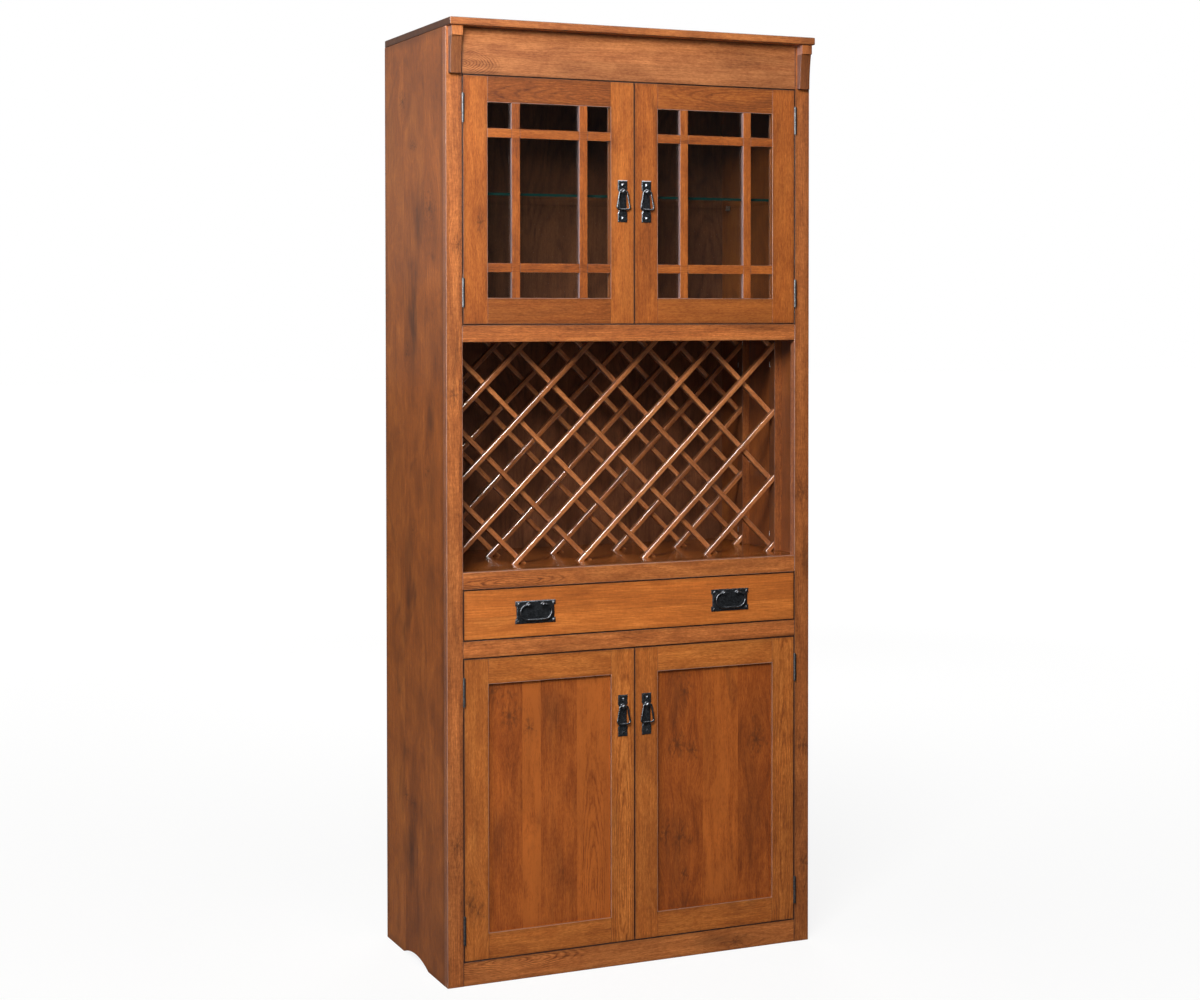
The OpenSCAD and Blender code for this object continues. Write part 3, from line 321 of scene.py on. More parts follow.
def maple(name, run, turned=None, turned_where=None, tones=medium_stain, seed=0.0, boards=0.31,
          joints=None, board_contrast=0.18, mottle=0.7, flecks=0.8, streaks=0.35, curl=0.12,
          figure=0.08, heart=None, ring=0.0052, knots=(), smears=0.45, darker=None, edges=None,
          burn=(0.009, 0.22), arris=None, edge_stain=0.45, end_stain=0.55, pale_edges=0.0,
          lift=1.0, turned_lift=1.0, broad=1.0, knot_squash=0.55, gloss=0.46, coat=0.22,
          coat_roughness=0.12, coat_ior=1.5):
    """Stained and lacquered maple. run gives how the grain lies, turned how it lies where
    turned_where says 1. heart is (along, across, taper, reach) of the trunk's pith where the
    growth rings show as arches. darker gives how far each place is darkened, edges the distance
    to the nearest arris, burn how wide and how strong the darkening along it is, arris
    whether the arris itself is dark, partly stain and partly painted shade, or pale, partly wear
    and partly a painted highlight, pale_edges how far a painted sheen pales the narrow faces,
    and lift how light the whole piece came out, with turned_lift for the turned part. A small
    broad spreads the clouds across the board, and a large knot_squash makes the knots short."""
    material, tree, out = bare_material(name)
    looked_up = put(tree, "TexCoord").outputs
    xyz = put(tree, "SeparateXYZ", {0: looked_up["Object"]}).outputs
    facing = put(tree, "SeparateXYZ", {0: looked_up["Normal"]}).outputs
    lie = along_and_across(tree, *xyz, run)
    face = along_and_across(tree, *facing, run)
    mask = None
    if turned is not None:
        mask = turned_where(tree, *xyz)
        lie, face = [
            [calc(tree, "MULTIPLY_ADD", mask, calc(tree, "SUBTRACT", b, a), a)
             for a, b in zip(straight, along_and_across(tree, *source, turned))]
            for straight, source in ((lie, xyz), (face, facing))]
    along, across, through = lie
    # Random numbers of each board's own, with other ones for the turned boards
    board, step = which_board(tree, across, boards, joints)
    numbered = board if mask is None else calc(tree, "MULTIPLY_ADD", mask, 37.0, board)
    own = put(tree, "TexWhiteNoise", {"W": calc(tree, "ADD", numbered, seed)},
              noise_dimensions="1D")
    own_rgb = put(tree, "SeparateColor", {0: own.outputs["Color"]}).outputs
    shifted = calc(tree, "MULTIPLY_ADD", own.outputs["Value"], 9.0, along)
    knot_dark, bend = knots_in(tree, along, (shifted, across, through), knots, knot_squash)
    slow = grain_noise(tree, (shifted, across, calc(tree, "ADD", through, seed)), (1.9, 8.0))
    wavy = calc(tree, "MULTIPLY_ADD", slow, 0.022, calc(tree, "SUBTRACT", across, bend))
    place = (shifted, wavy, through)
    # The board is cut from a trunk that tapers, off its pith or through its heart
    if heart is None:
        pith = calc(tree, "MULTIPLY_ADD", calc(tree, "ADD", board, 0.5), boards,
                    -boards_before * boards)
        pith = calc(tree, "ADD", pith, calc(tree, "MULTIPLY_ADD", own_rgb[0], 0.09, -0.045))
        depth = calc(tree, "MULTIPLY_ADD", shifted, 0.05,
                     calc(tree, "MULTIPLY_ADD", slow, 0.06, calc(tree, "ADD", through, 0.02)))
    else:
        pith = heart[1] + 0.011
        depth = calc(tree, "MULTIPLY_ADD", calc(tree, "SUBTRACT", along, heart[0]), heart[2],
                     calc(tree, "MULTIPLY_ADD", slow, 0.03, -0.015))
    late = late_wood(tree, place, calc(tree, "SUBTRACT", wavy, pith), depth, ring,
                     heart[3] if heart else None)
    # Soft clouds, streaks, short flecks, the cross ripple of the fibres, and single fibres
    cloud = grain_noise(tree, place, (7.0, 24.0 * broad), 4.0, 0.6, 0.9)
    streak = grain_noise(tree, place, (4.0, 110.0), 3.0, 0.6)
    fleck = grain_noise(tree, place, (95.0, 480.0), 2.0, 0.65, 0.3)
    ripple = grain_noise(tree, place, (210.0, 75.0), 1.5, 0.5, 0.5)
    fibre = grain_noise(tree, place, (12.0, 430.0), 2.0, 0.6)
    fibres = 0.45
    tone = calc(tree, "ADD", step, 0.5 + 0.3 * figure - 0.5 * (
        mottle + streaks + flecks + curl + fibres + board_contrast))
    for amount, part in ((-figure, late), (mottle, cloud), (streaks, streak), (flecks, fleck),
                         (curl, ripple), (fibres, fibre), (board_contrast, own_rgb[1])):
        tone = calc(tree, "MULTIPLY_ADD", part, amount, tone)
    stained = ramp(tree, tone, (0.14, tones[0]), (0.5, tones[1]), (0.86, tones[2]))
    # The stain takes unevenly, lies thicker in soft smears, and sinks deepest into end grain.
    # The colour also darkens along arrises, and narrow faces are darkened as painted shade
    blotch = grain_noise(tree, (shifted, across, calc(tree, "ADD", through, 3.1)),
                         (3.6, 11.0 * broad), 3.0, 0.55, 0.7)
    smeared = grain_noise(tree, (calc(tree, "ADD", shifted, 4.7), across, through),
                          (4.2, 19.0 * broad), 3.0, 0.55, 0.8)
    shade = calc(tree, "MULTIPLY_ADD", blotch, 0.7 * lift, 0.65 * lift)
    if mask is not None:
        shade = calc(tree, "MULTIPLY", shade,
                     calc(tree, "MULTIPLY_ADD", mask, turned_lift - 1.0, 1.0))
    on_end = between(tree, calc(tree, "ABSOLUTE", face[0]), 0.3, 0.8, 0.0, 1.0)
    on_edge = between(tree, calc(tree, "ABSOLUTE", face[1]), 0.6, 0.9, 0.0, 1.0)
    # End grain takes the stain darker; the narrow faces are darkened as painted shade, as in the gaps
    # between parts
    stain_and_shade = [calc(tree, "MULTIPLY", on_end, end_stain), calc(tree, "MULTIPLY", on_edge, edge_stain)]
    if edges:
        inward = edges(tree, *xyz)
        ragged_inward = calc(tree, "MULTIPLY_ADD", blotch, -1.4 * burn[0], inward)
        stain_and_shade.append(between(tree, ragged_inward, -0.7 * burn[0], 0.5 * burn[0], burn[1], 0.0))
    for amount in stain_and_shade:
        shade = calc(tree, "MULTIPLY", shade, calc(tree, "SUBTRACT", 1.0, amount))
    colour = mixed_colour(tree, 1.0, stained, shade, "MULTIPLY")
    # A painted sheen: narrow faces are paled towards a lilac grey, as if they mirrored bright
    # surroundings
    if pale_edges:
        colour = mixed_colour(tree, calc(tree, "MULTIPLY", on_edge, pale_edges), colour,
                              painted_sheen_tone)
    # Dark arrises are partly stain and partly painted shade; pale arrises are partly wear and partly
    # a painted highlight
    if arris:
        shows, tone_there = (0.4, worn_highlit_arris) if arris == "worn_highlit" else (0.9, dark_stain_and_shade_tone)
        at_arris = between(tree, inward, 0.0007, 0.0014, shows, 0.0, "LINEAR")
        colour = mixed_colour(tree, at_arris, colour, tone_there)
    darkness = [between(tree, smeared, 0.56, 0.78, 0.0, smears)]
    if knots:
        darkness.append(knot_dark)
    if darker:
        darkness.append(darker(tree, *xyz))
    # Knots, smears and dark joints take the dark stain tone, and so do the places given painted shade
    for amount in darkness:
        colour = mixed_colour(tree, amount, colour, dark_stain_and_shade_tone)
    bump = put(tree, "Bump", {"Strength": 0.25, "Distance": 0.0004,
                              "Height": calc(tree, "MULTIPLY_ADD", fleck, 0.8, fibre)})
    lacquer = put(tree, "BsdfPrincipled", {
        "Base Color": colour, "Normal": bump.outputs[0], "Coat Weight": coat,
        "Coat Roughness": coat_roughness, "Coat IOR": coat_ior, "Specular IOR Level": 0.36,
        "Roughness": calc(tree, "MULTIPLY_ADD", fleck, 0.2, gloss - 0.1)})
    tree.links.new(lacquer.outputs[0], out.inputs[0])
    return material


def dress(node, *materials):
    """Puts materials into a CAD node's slots."""
    mesh = nodes[node].data
    mesh.materials.clear()
    for material in materials:
        mesh.materials.append(material)


def bevelled(piece, name, width, segments, angle):
    """Bevels a piece's edges that are sharper than an angle."""
    bevel = piece.modifiers.new(name, "BEVEL")
    bevel.width = width
    bevel.segments = segments
    bevel.limit_method = "ANGLE"
    bevel.angle_limit = math.radians(angle)
    return bevel


def ease(node, width=0.0009, segments=2):
    """Eases the sharp edges of a wooden or metal piece, as sanding or filing does."""
    piece = nodes[node]
    weld = piece.modifiers.new("closed", "WELD")
    weld.merge_threshold = 0.00001
    bevelled(piece, "eased edges", width, segments, 40).profile = 0.35
    flat = piece.modifiers.new("flat faces", "WEIGHTED_NORMAL")
    flat.keep_sharp = False


def wood_name(node):
    """The name of a node's own wood."""
    return node.replace("_", " ") + " maple"


def maple_board(node, run, **wood):
    """Dresses a plain board in wood of its own, with its colour darker along its arrises."""
    dress(node, maple(wood_name(node), run, edges=from_arris(node), **wood))


side_stain = ((0.185, 0.044, 0.0060), (0.43, 0.113, 0.0155), (0.70, 0.222, 0.036))
side_knots = {
    "side_left": ((1.978, 0.098, 0.020), (1.872, 0.030, 0.013), (1.868, 0.010, 0.009),
                  (1.723, -0.088, 0.034), (1.700, -0.015, 0.022, 0.5, 0.55),
                  (1.475, 0.024, 0.019, 0.22, 0.85), (1.418, 0.026, 0.015, 0.5, 0.6),
                  (1.395, 0.075, 0.016), (1.135, -0.076, 0.019), (1.10, -0.10, 0.022, 0.25, 0.4),
                  (0.992, 0.03, 0.016), (0.955, 0.05, 0.024, 0.45, 0.55),
                  (0.86, -0.09, 0.024, 0.4, 0.4), (0.372, 0.080, 0.017), (0.363, 0.028, 0.016),
                  (0.33, -0.03, 0.014, 0.4, 0.4), (0.247, 0.046, 0.030, 0.42, 0.72)),
    "side_right": ((1.71, -0.04, 0.020), (1.33, 0.06, 0.018, 0.25, 0.55), (1.05, 0.10, 0.016),
                   (0.42, 0.02, 0.020)),
}
inner_face, inside_painted_shade = 0.4346, 0.55


def shaded_inside_case(tree, x, y, z):
    """Painted shade: the inner faces of the sides are darker inside the case."""
    inside = calc(tree, "LESS_THAN", calc(tree, "ABSOLUTE", x), inner_face)
    return calc(tree, "MULTIPLY", inside, inside_painted_shade)


for seed, side in enumerate(side_knots):
    maple_board(side, "zy", seed=11.0 + 5 * seed, boards=0.142, knots=side_knots[side],
                tones=side_stain, figure=0.04, streaks=0.24, mottle=0.8, curl=0.05, flecks=0.6,
                smears=0.6, board_contrast=0.14, broad=0.42, knot_squash=1.3, darker=shaded_inside_case,
                burn=(0.02, 0.3))
    ease(side)

# The back is one sheet of stained plywood, pinned into the rebates with brads. Its face
# veneer runs upright and stays darker than the front.

deep_stain = ((0.077, 0.0265, 0.011), (0.136, 0.047, 0.0185), (0.213, 0.076, 0.030))
dress("back_panel", maple("back panel plywood", "zx", tones=deep_stain, seed=23.0, boards=0.29,
                          figure=0.2, board_contrast=0.05, gloss=0.45))
ease("back_panel", 0.0004, 1)

# Floors and fixed shelves: solid maple boards housed into the sides, with the grain from
# side to side. The wine bay floor shows and has the glossiest lacquer.

# The floors are coloured darker overall and along their edges, as painted shade inside the case
for seed, name, gloss in ((31.0, "display_floor", 0.36), (36.0, "wine_bay_floor", 0.18),
                          (41.0, "drawer_deck", 0.4), (46.0, "cupboard_floor", 0.36)):
    maple_board(name, "xy", seed=seed, boards=0.13, burn=(0.03, 0.45), tones=side_stain, lift=0.68,
                gloss=gloss)
    ease(name)

# The top board overhangs the front and is screwed down through two cleats, which are glued
# to the sides.

# Its arrises are dark, partly stain and partly painted shade
maple_board("top_board", "xy", seed=52.0, boards=0.118, edge_stain=0.0, end_stain=0.72,
            arris="dark")
ease("top_board", 0.0018, 3)
dress("top_cleats", maple("top cleat maple", "yz", seed=57.0, tones=deep_stain))
ease("top_cleats")

# The face frame: two stiles as high as the case and five rails tenoned between them. The
# frieze rail was cut through the heart of a board, so it shows tall arches in its grain.

stile_inner_edge, stile_gap_shade = 0.4166, 0.92
bay_and_rails = (0.881, 1.461)


def shaded_stile_gap(tree, x, y, z):
    """Painted shade darkens the stiles' inner edges beside the doors and the drawer, above and
    below the wine bay with its rails."""
    low, high = bay_and_rails
    inner = calc(tree, "LESS_THAN", calc(tree, "ABSOLUTE", x), stile_inner_edge)
    beside = calc(tree, "GREATER_THAN", off_middle(tree, z, low, high), (high - low) / 2)
    return calc(tree, "MULTIPLY", calc(tree, "MULTIPLY", inner, beside), stile_gap_shade)


stile_knots = {"face_stile_left": ((1.64, -0.425, 0.010), (1.31, -0.436, 0.010),
                                   (0.315, -0.43, 0.012)),
               "face_stile_right": ((1.066, 0.438, 0.015), (0.466, 0.439, 0.015),
                                    (0.187, 0.440, 0.014))}
# The stiles' inner edges beside the doors are darkened as painted shade, their narrow faces carry a
# slight painted sheen, and their arrises are pale, partly wear and partly a painted highlight
for seed, name in enumerate(stile_knots):
    maple_board(name, "zx", seed=61.0 + 5.5 * seed, knots=stile_knots[name], edge_stain=0.0,
                pale_edges=0.12, curl=0.3, darker=shaded_stile_gap, lift=1.04 - 0.08 * seed,
                arris="worn_highlit")
    ease(name, 0.0012)
frieze_stain = ((0.185, 0.054, 0.0155), (0.41, 0.128, 0.037), (0.66, 0.245, 0.078))
rail_grain = {
    "frieze_rail": {"heart": (-0.418, 2.036, 0.42, 0.042), "figure": 0.42, "lift": 0.84,
                    "tones": frieze_stain},
    "rail_above_wine_bay": {"lift": 1.12},
    "rail_below_wine_bay": {"heart": (-0.30, 0.893, 0.12, 0.018), "figure": 0.42, "lift": 1.06,
                            "edge_stain": 0.25, "arris": "worn_highlit"},
    "rail_below_drawer": {"lift": 1.14},
    "base_rail": {"heart": (-0.31, 0.045, 0.12, 0.03), "figure": 0.42,
                  "knots": ((0.258, 0.018, 0.015), (0.205, 0.030, 0.008, 0.2, 0.6))},
}
# The rails' narrow faces are darkened as painted shade of the gaps beside them, and their arrises are
# dark, partly stain and partly painted shade; the rail below the wine bay has pale arrises, partly
# wear and partly a painted highlight
for seed, (name, grain) in enumerate(rail_grain.items(), start=71):
    maple_board(name, "xz", seed=4.3 * seed, ring=0.0032, streaks=0.6,
                **{"edge_stain": 0.9, "arris": "dark", **grain})
    ease(name, 0.0012)

# The corbels are band-sawn from thick maple blocks and glued to the stiles under the top
# board. Their sawn sweeps are coloured darker.

corbel_block, sweep_darkening = 0.0225, 0.62
sweep_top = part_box("corbels")[1][2] - corbel_block


def on_sweep(tree, x, y, z):
    """A corbel's sweep, below its block, is coloured darker."""
    return calc(tree, "MULTIPLY", calc(tree, "LESS_THAN", z, sweep_top), sweep_darkening)


# Their narrow faces carry a painted sheen
dress("corbels", maple("corbel maple", "zx", seed=93.0, darker=on_sweep, edge_stain=0.1,
                       pale_edges=0.45))
ease("corbels")

# Loose shelves: one of clear float glass with polished green edges, one of maple, each on
# four zinc-plated pins.


def float_glass(name, edge):
    """Clear float glass, with edges that show the green of its body where edge is true."""
    material, tree, out = bare_material(name)
    clear = put(tree, "BsdfPrincipled", {"Base Color": (0.96, 0.975, 0.965, 1), "Roughness": 0.01,
                                         "IOR": 1.46, "Transmission Weight": 1.0})
    see_through = put(tree, "BsdfTransparent", {"Color": (0.91, 0.925, 0.915, 1)})
    # Only the light that is looked at is bent; light on its way to the wood passes straight
    shader = put(tree, "MixShader", {0: calc(tree, "SUBTRACT", 1.0, looked_at(tree)),
                                     1: clear.outputs[0], 2: see_through.outputs[0]})
    if edge:
        up = put(tree, "SeparateXYZ", {0: put(tree, "TexCoord").outputs["Normal"]}).outputs[2]
        is_edge = calc(tree, "LESS_THAN", calc(tree, "ABSOLUTE", up), 0.5)
        green = put(tree, "BsdfPrincipled", {"Base Color": (0.002, 0.029, 0.025, 1),
                                             "Roughness": 0.2, "IOR": 1.46})
        shader = put(tree, "MixShader", {0: is_edge, 1: shader.outputs[0], 2: green.outputs[0]})
    tree.links.new(shader.outputs[0], out.inputs[0])
    return material


def plated_steel(name, colour, roughness, brushed):
    """Bright plated steel with the fine lines of the rolled sheet."""
    material, tree, out = bare_material(name)
    place = put(tree, "TexCoord").outputs["Object"]
    rolled = put(tree, "VectorMath", {0: place, 1: brushed}, operation="MULTIPLY").outputs[0]
    cloud = noise(tree, place, 90.0, 3.0)
    bump = put(tree, "Bump", {"Strength": 0.12, "Distance": 0.0003,
                              "Height": noise(tree, rolled, 1.0, 2.0)})
    metal = put(tree, "BsdfPrincipled", {
        "Base Color": ramp(tree, cloud, (0.3, [0.82 * c for c in colour]), (0.7, colour)),
        "Metallic": 1.0, "Normal": bump.outputs[0],
        "Roughness": calc(tree, "MULTIPLY_ADD", cloud, 0.15, roughness)})
    tree.links.new(metal.outputs[0], out.inputs[0])
    return material


dress("glass_shelf", float_glass("float glass shelf", True))
dress("cupboard_shelf", maple("cupboard shelf maple", "xy", seed=101.0, boards=0.12))
ease("cupboard_shelf")
dress("shelf_pins", plated_steel("zinc-plated pins", (0.62, 0.63, 0.64), 0.28, (400, 400, 400)))

# The wine lattice: square slats with rounded front arrises in two crossed layers, pinned
# where they cross, in a front and a rear plane. They stand between upright cleats.

slat_lean = 45.5
slat_stain = ((0.17, 0.050, 0.014), (0.38, 0.122, 0.033), (0.62, 0.235, 0.075))
for seed, name in ((111.0, "front_lattice"), (117.0, "rear_lattice")):
    low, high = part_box(name)
    middle_y = (low[1] + high[1]) / 2
    # The slats' side faces are darkened as painted shade
    dress(name, maple(
        wood_name(name), slat_lean, turned=-slat_lean,
        turned_where=lambda tree, x, y, z, m=middle_y: calc(tree, "GREATER_THAN", y, m),
        seed=seed, boards=0.0575, board_contrast=0.3, figure=0.04, edge_stain=0.55, tones=slat_stain,
        lift=1.12, gloss=0.42, coat=1.0, coat_roughness=0.06, coat_ior=1.9))
    ease(name, 0.0006)
dress("lattice_cleats", maple("lattice cleat maple", "zx", seed=123.0, lift=0.7))
ease("lattice_cleats", 0.0007)

# The drawer runs on two ball-bearing slides of folded zinc-plated steel, each screwed to a
# block on the side and to the drawer box.

dress("slide_blocks", maple("slide block maple", "yz", seed=131.0, tones=deep_stain))
ease("slide_blocks")
slide_zinc = plated_steel("zinc-plated slide steel", (0.60, 0.61, 0.62), 0.3, (30, 900, 900))
for name in ("slide_case_members", "slide_middle_members", "drawer_slide_members"):
    dress(name, slide_zinc)

# The drawer: a box of clear-lacquered maple round a plywood bottom in a groove, with a
# stained front screwed on from inside.

bright_stain = ((0.205, 0.049, 0.0075), (0.45, 0.120, 0.0175), (0.71, 0.235, 0.043))
clear_finish = ((0.45, 0.27, 0.13), (0.60, 0.40, 0.22), (0.72, 0.52, 0.32))
drawer_board = 0.0127
inner_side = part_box("drawer_box")[1][0] - drawer_board


def between_sides(tree, x, y, z):
    """The drawer's inner front and back run across, between its sides."""
    return calc(tree, "LESS_THAN", calc(tree, "ABSOLUTE", x), inner_side)


dress("drawer_box", maple("drawer box maple", "yz", turned="xz", turned_where=between_sides,
                          tones=clear_finish, seed=137.0, smears=0.0, mottle=0.5, edge_stain=0.1,
                          end_stain=0.2))
ease("drawer_box")
dress("drawer_bottom", maple("drawer bottom plywood", "xy", tones=clear_finish, seed=141.0,
                             figure=0.2, board_contrast=0.02, smears=0.0, mottle=0.5))
gap_margin, gap_shade = 0.0012, 0.93


def outside(tree, x, z, low, high, margin=0.0):
    """How far a place is outside a piece that is seen from the front, or outside a line that
    runs round inside it at a margin. Places inside have numbers below nought."""
    return calc(tree, "MAXIMUM", *[
        calc(tree, "SUBTRACT", off_middle(tree, place, low[i], high[i]),
             (high[i] - low[i]) / 2 - margin) for i, place in ((0, x), (2, z))])


def shaded_gap(node):
    """Painted shade darkens the edges of a drawer front or door, in the gap round it."""
    low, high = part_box(node)

    def dark(tree, x, y, z):
        at_edge = calc(tree, "GREATER_THAN", outside(tree, x, z, low, high), -gap_margin)
        return calc(tree, "MULTIPLY", at_edge, gap_shade)

    return dark


# Its edges are darkened as painted shade in the gap round it
maple_board("drawer_front", "xz", seed=145.0, boards=0.5, figure=0.06, tones=bright_stain,
            mottle=0.5, streaks=0.25, flecks=0.35, smears=0.2, lift=1.3,
            darker=shaded_gap("drawer_front"), coat=0.35)
ease("drawer_front", 0.0016, 3)

# The doors: mortised and tenoned maple frames, 58 mm wide all round. The upper pair has
# crossed glazing bars and one pane each, the lower pair flat panels of glued-up boards.

door_member = 0.058
joint_half, joint_clear, joint_stain = 0.0004, 0.001, 0.4
glass_door_stain = ((0.165, 0.036, 0.0052), (0.372, 0.092, 0.0118), (0.60, 0.182, 0.029))


def door_frame_maple(node, seed, grain):
    """Wood for a door frame: upright stiles, level rails between them, and dark lines where
    they meet. Its outer edges are darkened as painted shade in the gap round it, and its arrises
    are pale, partly wear and partly a painted highlight."""
    low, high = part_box(node)
    rail_half = (high[0] - low[0]) / 2 - door_member
    opening_half = (high[2] - low[2]) / 2 - door_member
    gap_dark = shaded_gap(node)

    def on_rail(tree, x, y, z):
        return calc(tree, "LESS_THAN", off_middle(tree, x, low[0], high[0]), rail_half)

    def joint_lines_and_gap_shade(tree, x, y, z):
        near = calc(tree, "COMPARE", off_middle(tree, x, low[0], high[0]), rail_half, joint_half)
        on_frame = calc(tree, "GREATER_THAN", off_middle(tree, z, low[2], high[2]),
                        opening_half + joint_clear)
        joint = calc(tree, "MULTIPLY", calc(tree, "MULTIPLY", near, on_frame), joint_stain)
        return calc(tree, "MAXIMUM", gap_dark(tree, x, y, z), joint)

    def from_edge(tree, x, y, z):
        out = outside(tree, x, z, low, high, door_member)
        on_face = calc(tree, "MINIMUM", out, calc(tree, "SUBTRACT", door_member, out))
        to_face = calc(tree, "SUBTRACT", (high[1] - low[1]) / 2,
                       off_middle(tree, y, low[1], high[1]))
        return calc(tree, "MAXIMUM", on_face, to_face)

    return maple(wood_name(node), "zx", turned="xz", turned_where=on_rail, darker=joint_lines_and_gap_shade,
                 edges=from_edge, arris="worn_highlit", edge_stain=0.3, end_stain=0.3, coat=0.3,
                 seed=seed, **grain)


door_grain = {
    "glass_door_left": {"tones": glass_door_stain, "turned_lift": 0.76, "figure": 0.22,
                        "heart": (-0.085, 1.974, 0.10, 0.040), "knots": ((1.69, -0.372, 0.010),)},
    "glass_door_right": {"tones": glass_door_stain, "turned_lift": 0.8, "figure": 0.2,
                         "heart": (0.36, 1.990, 0.08, 0.034)},
    "panel_door_left": {"tones": bright_stain, "heart": (0.22, -0.028, 0.06, 0.030), "figure": 0.3,
                        "knots": ((0.18, -0.401, 0.014), (0.160, -0.382, 0.011))},
    "panel_door_right": {"tones": bright_stain, "heart": (0.28, 0.385, 0.05, 0.030),
                         "figure": 0.25},
}
seed = 151.0
for door, grain in door_grain.items():
    seed += 6.3
    dress(door + "_frame", door_frame_maple(door + "_frame", seed, grain))
    ease(door + "_frame", 0.0015, 3)

window = float_glass("float glass panes", False)
bar_drop, bar_half = 0.067, 0.0101
for side in ("left", "right"):
    door = "glass_door_" + side
    low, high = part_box(door + "_bars")

    def on_level_bar(tree, x, y, z, places=(low[2] + bar_drop, high[2] - bar_drop)):
        return calc(tree, "MAXIMUM", *[calc(tree, "COMPARE", z, bar, bar_half) for bar in places])

    seed += 4.1
    # The bars' side faces carry a strong painted sheen of pale lilac grey
    dress(door + "_bars", maple("glazing bar maple " + side, "zx", turned="xz",
                                turned_where=on_level_bar, tones=glass_door_stain,
                                edge_stain=0.0, pale_edges=0.75, lift=1.05, turned_lift=0.9,
                                seed=seed))
    ease(door + "_bars")
    dress(door + "_glass", window)
    dress(door + "_stops", maple("glass stop maple " + side, "zx", seed=seed + 2))
    ease(door + "_stops", 0.0006)

panel_stain = ((0.15, 0.029, 0.0035), (0.325, 0.070, 0.0075), (0.53, 0.134, 0.018))
panel_grain = {
    "left": {"joints": ((-0.273, 0.27), (-0.2285, -0.25), (-0.140, 0.21)), "figure": 0.30,
             "heart": (0.10, -0.100, 0.085, 0.042),
             "knots": ((0.650, -0.345, 0.017), (0.592, -0.304, 0.019), (0.562, -0.257, 0.011),
                       (0.60, -0.20, 0.016, 0.3, 0.35), (0.33, -0.33, 0.014, 0.3, 0.35),
                       (0.24, -0.19, 0.016, 0.3, 0.35))},
    "right": {"joints": ((0.178, 0.24), (0.269, -0.20)), "figure": 0.0,
              "knots": ((0.615, 0.130, 0.016), (0.60, 0.112, 0.016, 0.25, 0.45),
                        (0.493, 0.112, 0.020), (0.478, 0.150, 0.012), (0.488, 0.318, 0.018),
                        (0.290, 0.082, 0.015), (0.276, 0.116, 0.018), (0.24, 0.10, 0.020, 0.3, 0.4),
                        (0.19, 0.128, 0.011), (0.34, 0.30, 0.018, 0.25, 0.35))},
}
panel_groove = 0.009


def from_groove(node):
    """How far a place on a door panel is from the grooves that hold it."""
    low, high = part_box(node)
    return lambda tree, x, y, z: calc(
        tree, "MULTIPLY", outside(tree, x, z, low, high, panel_groove), -1.0)


for side, grain in panel_grain.items():
    panel = "panel_door_" + side + "_panel"
    seed += 5.7
    # The darkening towards the grooves is painted shade from the frame round the panel
    dress(panel, maple("door panel maple " + side, "zx", tones=panel_stain, seed=seed,
                       board_contrast=0.0, mottle=0.9, edges=from_groove(panel),
                       burn=(0.018, 0.18), **grain))

# Hinges of pewter-coloured steel: leaves let into the stile and the door, knuckles round a
# pin with buttons.


def blackened_iron(name, colour, roughness, hammered):
    """Forged or pressed iron, blackened and waxed, with worn tops and dull hollows."""
    material, tree, out = bare_material(name)
    place = put(tree, "TexCoord").outputs["Object"]
    blows = noise(tree, place, 210.0, 1.5)
    scale = noise(tree, place, 1300.0, 2.0)
    hollows, tops = [0.6 * c for c in colour], [1.5 * c for c in colour]
    bump = put(tree, "Bump", {"Strength": hammered, "Distance": 0.0008,
                              "Height": calc(tree, "MULTIPLY_ADD", scale, 0.25, blows)})
    metal = put(tree, "BsdfPrincipled", {
        "Base Color": ramp(tree, blows, (0.32, hollows), (0.72, tops)), "Metallic": 0.75,
        "Normal": bump.outputs[0], "Coat Weight": 0.2, "Coat Roughness": 0.2,
        "Roughness": calc(tree, "MULTIPLY_ADD", scale, 0.2, roughness)})
    tree.links.new(metal.outputs[0], out.inputs[0])
    return material


hinge_steel = blackened_iron("pewter hinge steel", (0.060, 0.061, 0.064), 0.32, 0.1)
for name in ("hinge_case_leaves", "hinge_pins", *[door + "_hinge_leaves" for door in door_grain]):
    dress(name, hinge_steel)

# Catches: a zinc-plated magnet case under each ceiling holds a pair of doors by a thin strike
# plate on the back of each.

dress("door_catches", plated_steel("zinc-plated catch cases", (0.55, 0.56, 0.57), 0.32,
                                   (900, 30, 900)))


def made(name, mesh, body, slot, *materials, softened=0.0):
    """Turns a mesh into a piece of the object that rides on a body."""
    bmesh.ops.recalc_face_normals(mesh, faces=mesh.faces)
    data = bpy.data.meshes.new(name)
    mesh.to_mesh(data)
    mesh.free()
    for material in materials:
        data.materials.append(material)
    data.shade_smooth()
    data.set_sharp_from_angle(angle=math.radians(35))
    piece = bpy.data.objects.new(name, data)
    bpy.context.scene.collection.objects.link(piece)
    if softened:
        bevelled(piece, "softened edges", softened, 2, 35).harden_normals = True
    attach(piece, body)
    return piece


def block_into(mesh, middle, size):
    """Adds a rectangular block to a mesh."""
    bmesh.ops.create_cube(mesh, size=1.0, matrix=Matrix.Translation(middle)
                          @ Matrix.Diagonal((*size, 1)))


strike_w, strike_h, strike_t, strike_sunk = 0.022, 0.010, 0.0004, 0.0002
strike_in, strike_down = 0.005, 0.001
for door in door_grain:
    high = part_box(door + "_frame")[1]
    sign = -1 if door.endswith("left") else 1
    mesh = bmesh.new()
    block_into(mesh, (sign * (strike_in + strike_w / 2), high[1] + (strike_t - strike_sunk) / 2,
                      high[2] - strike_down - strike_h / 2),
               (strike_w, strike_t + strike_sunk, strike_h))
    made(door + "_strike", mesh, door, "steel", slide_zinc, softened=0.0001)

# Pulls of blackened wrought iron: a nailed plate with a boss and a hanging ring on each
# door, and two plates with hanging bails on the drawer. The plates are cut and bevelled by
# hand, and the heads of their nails are hammered to four sides.

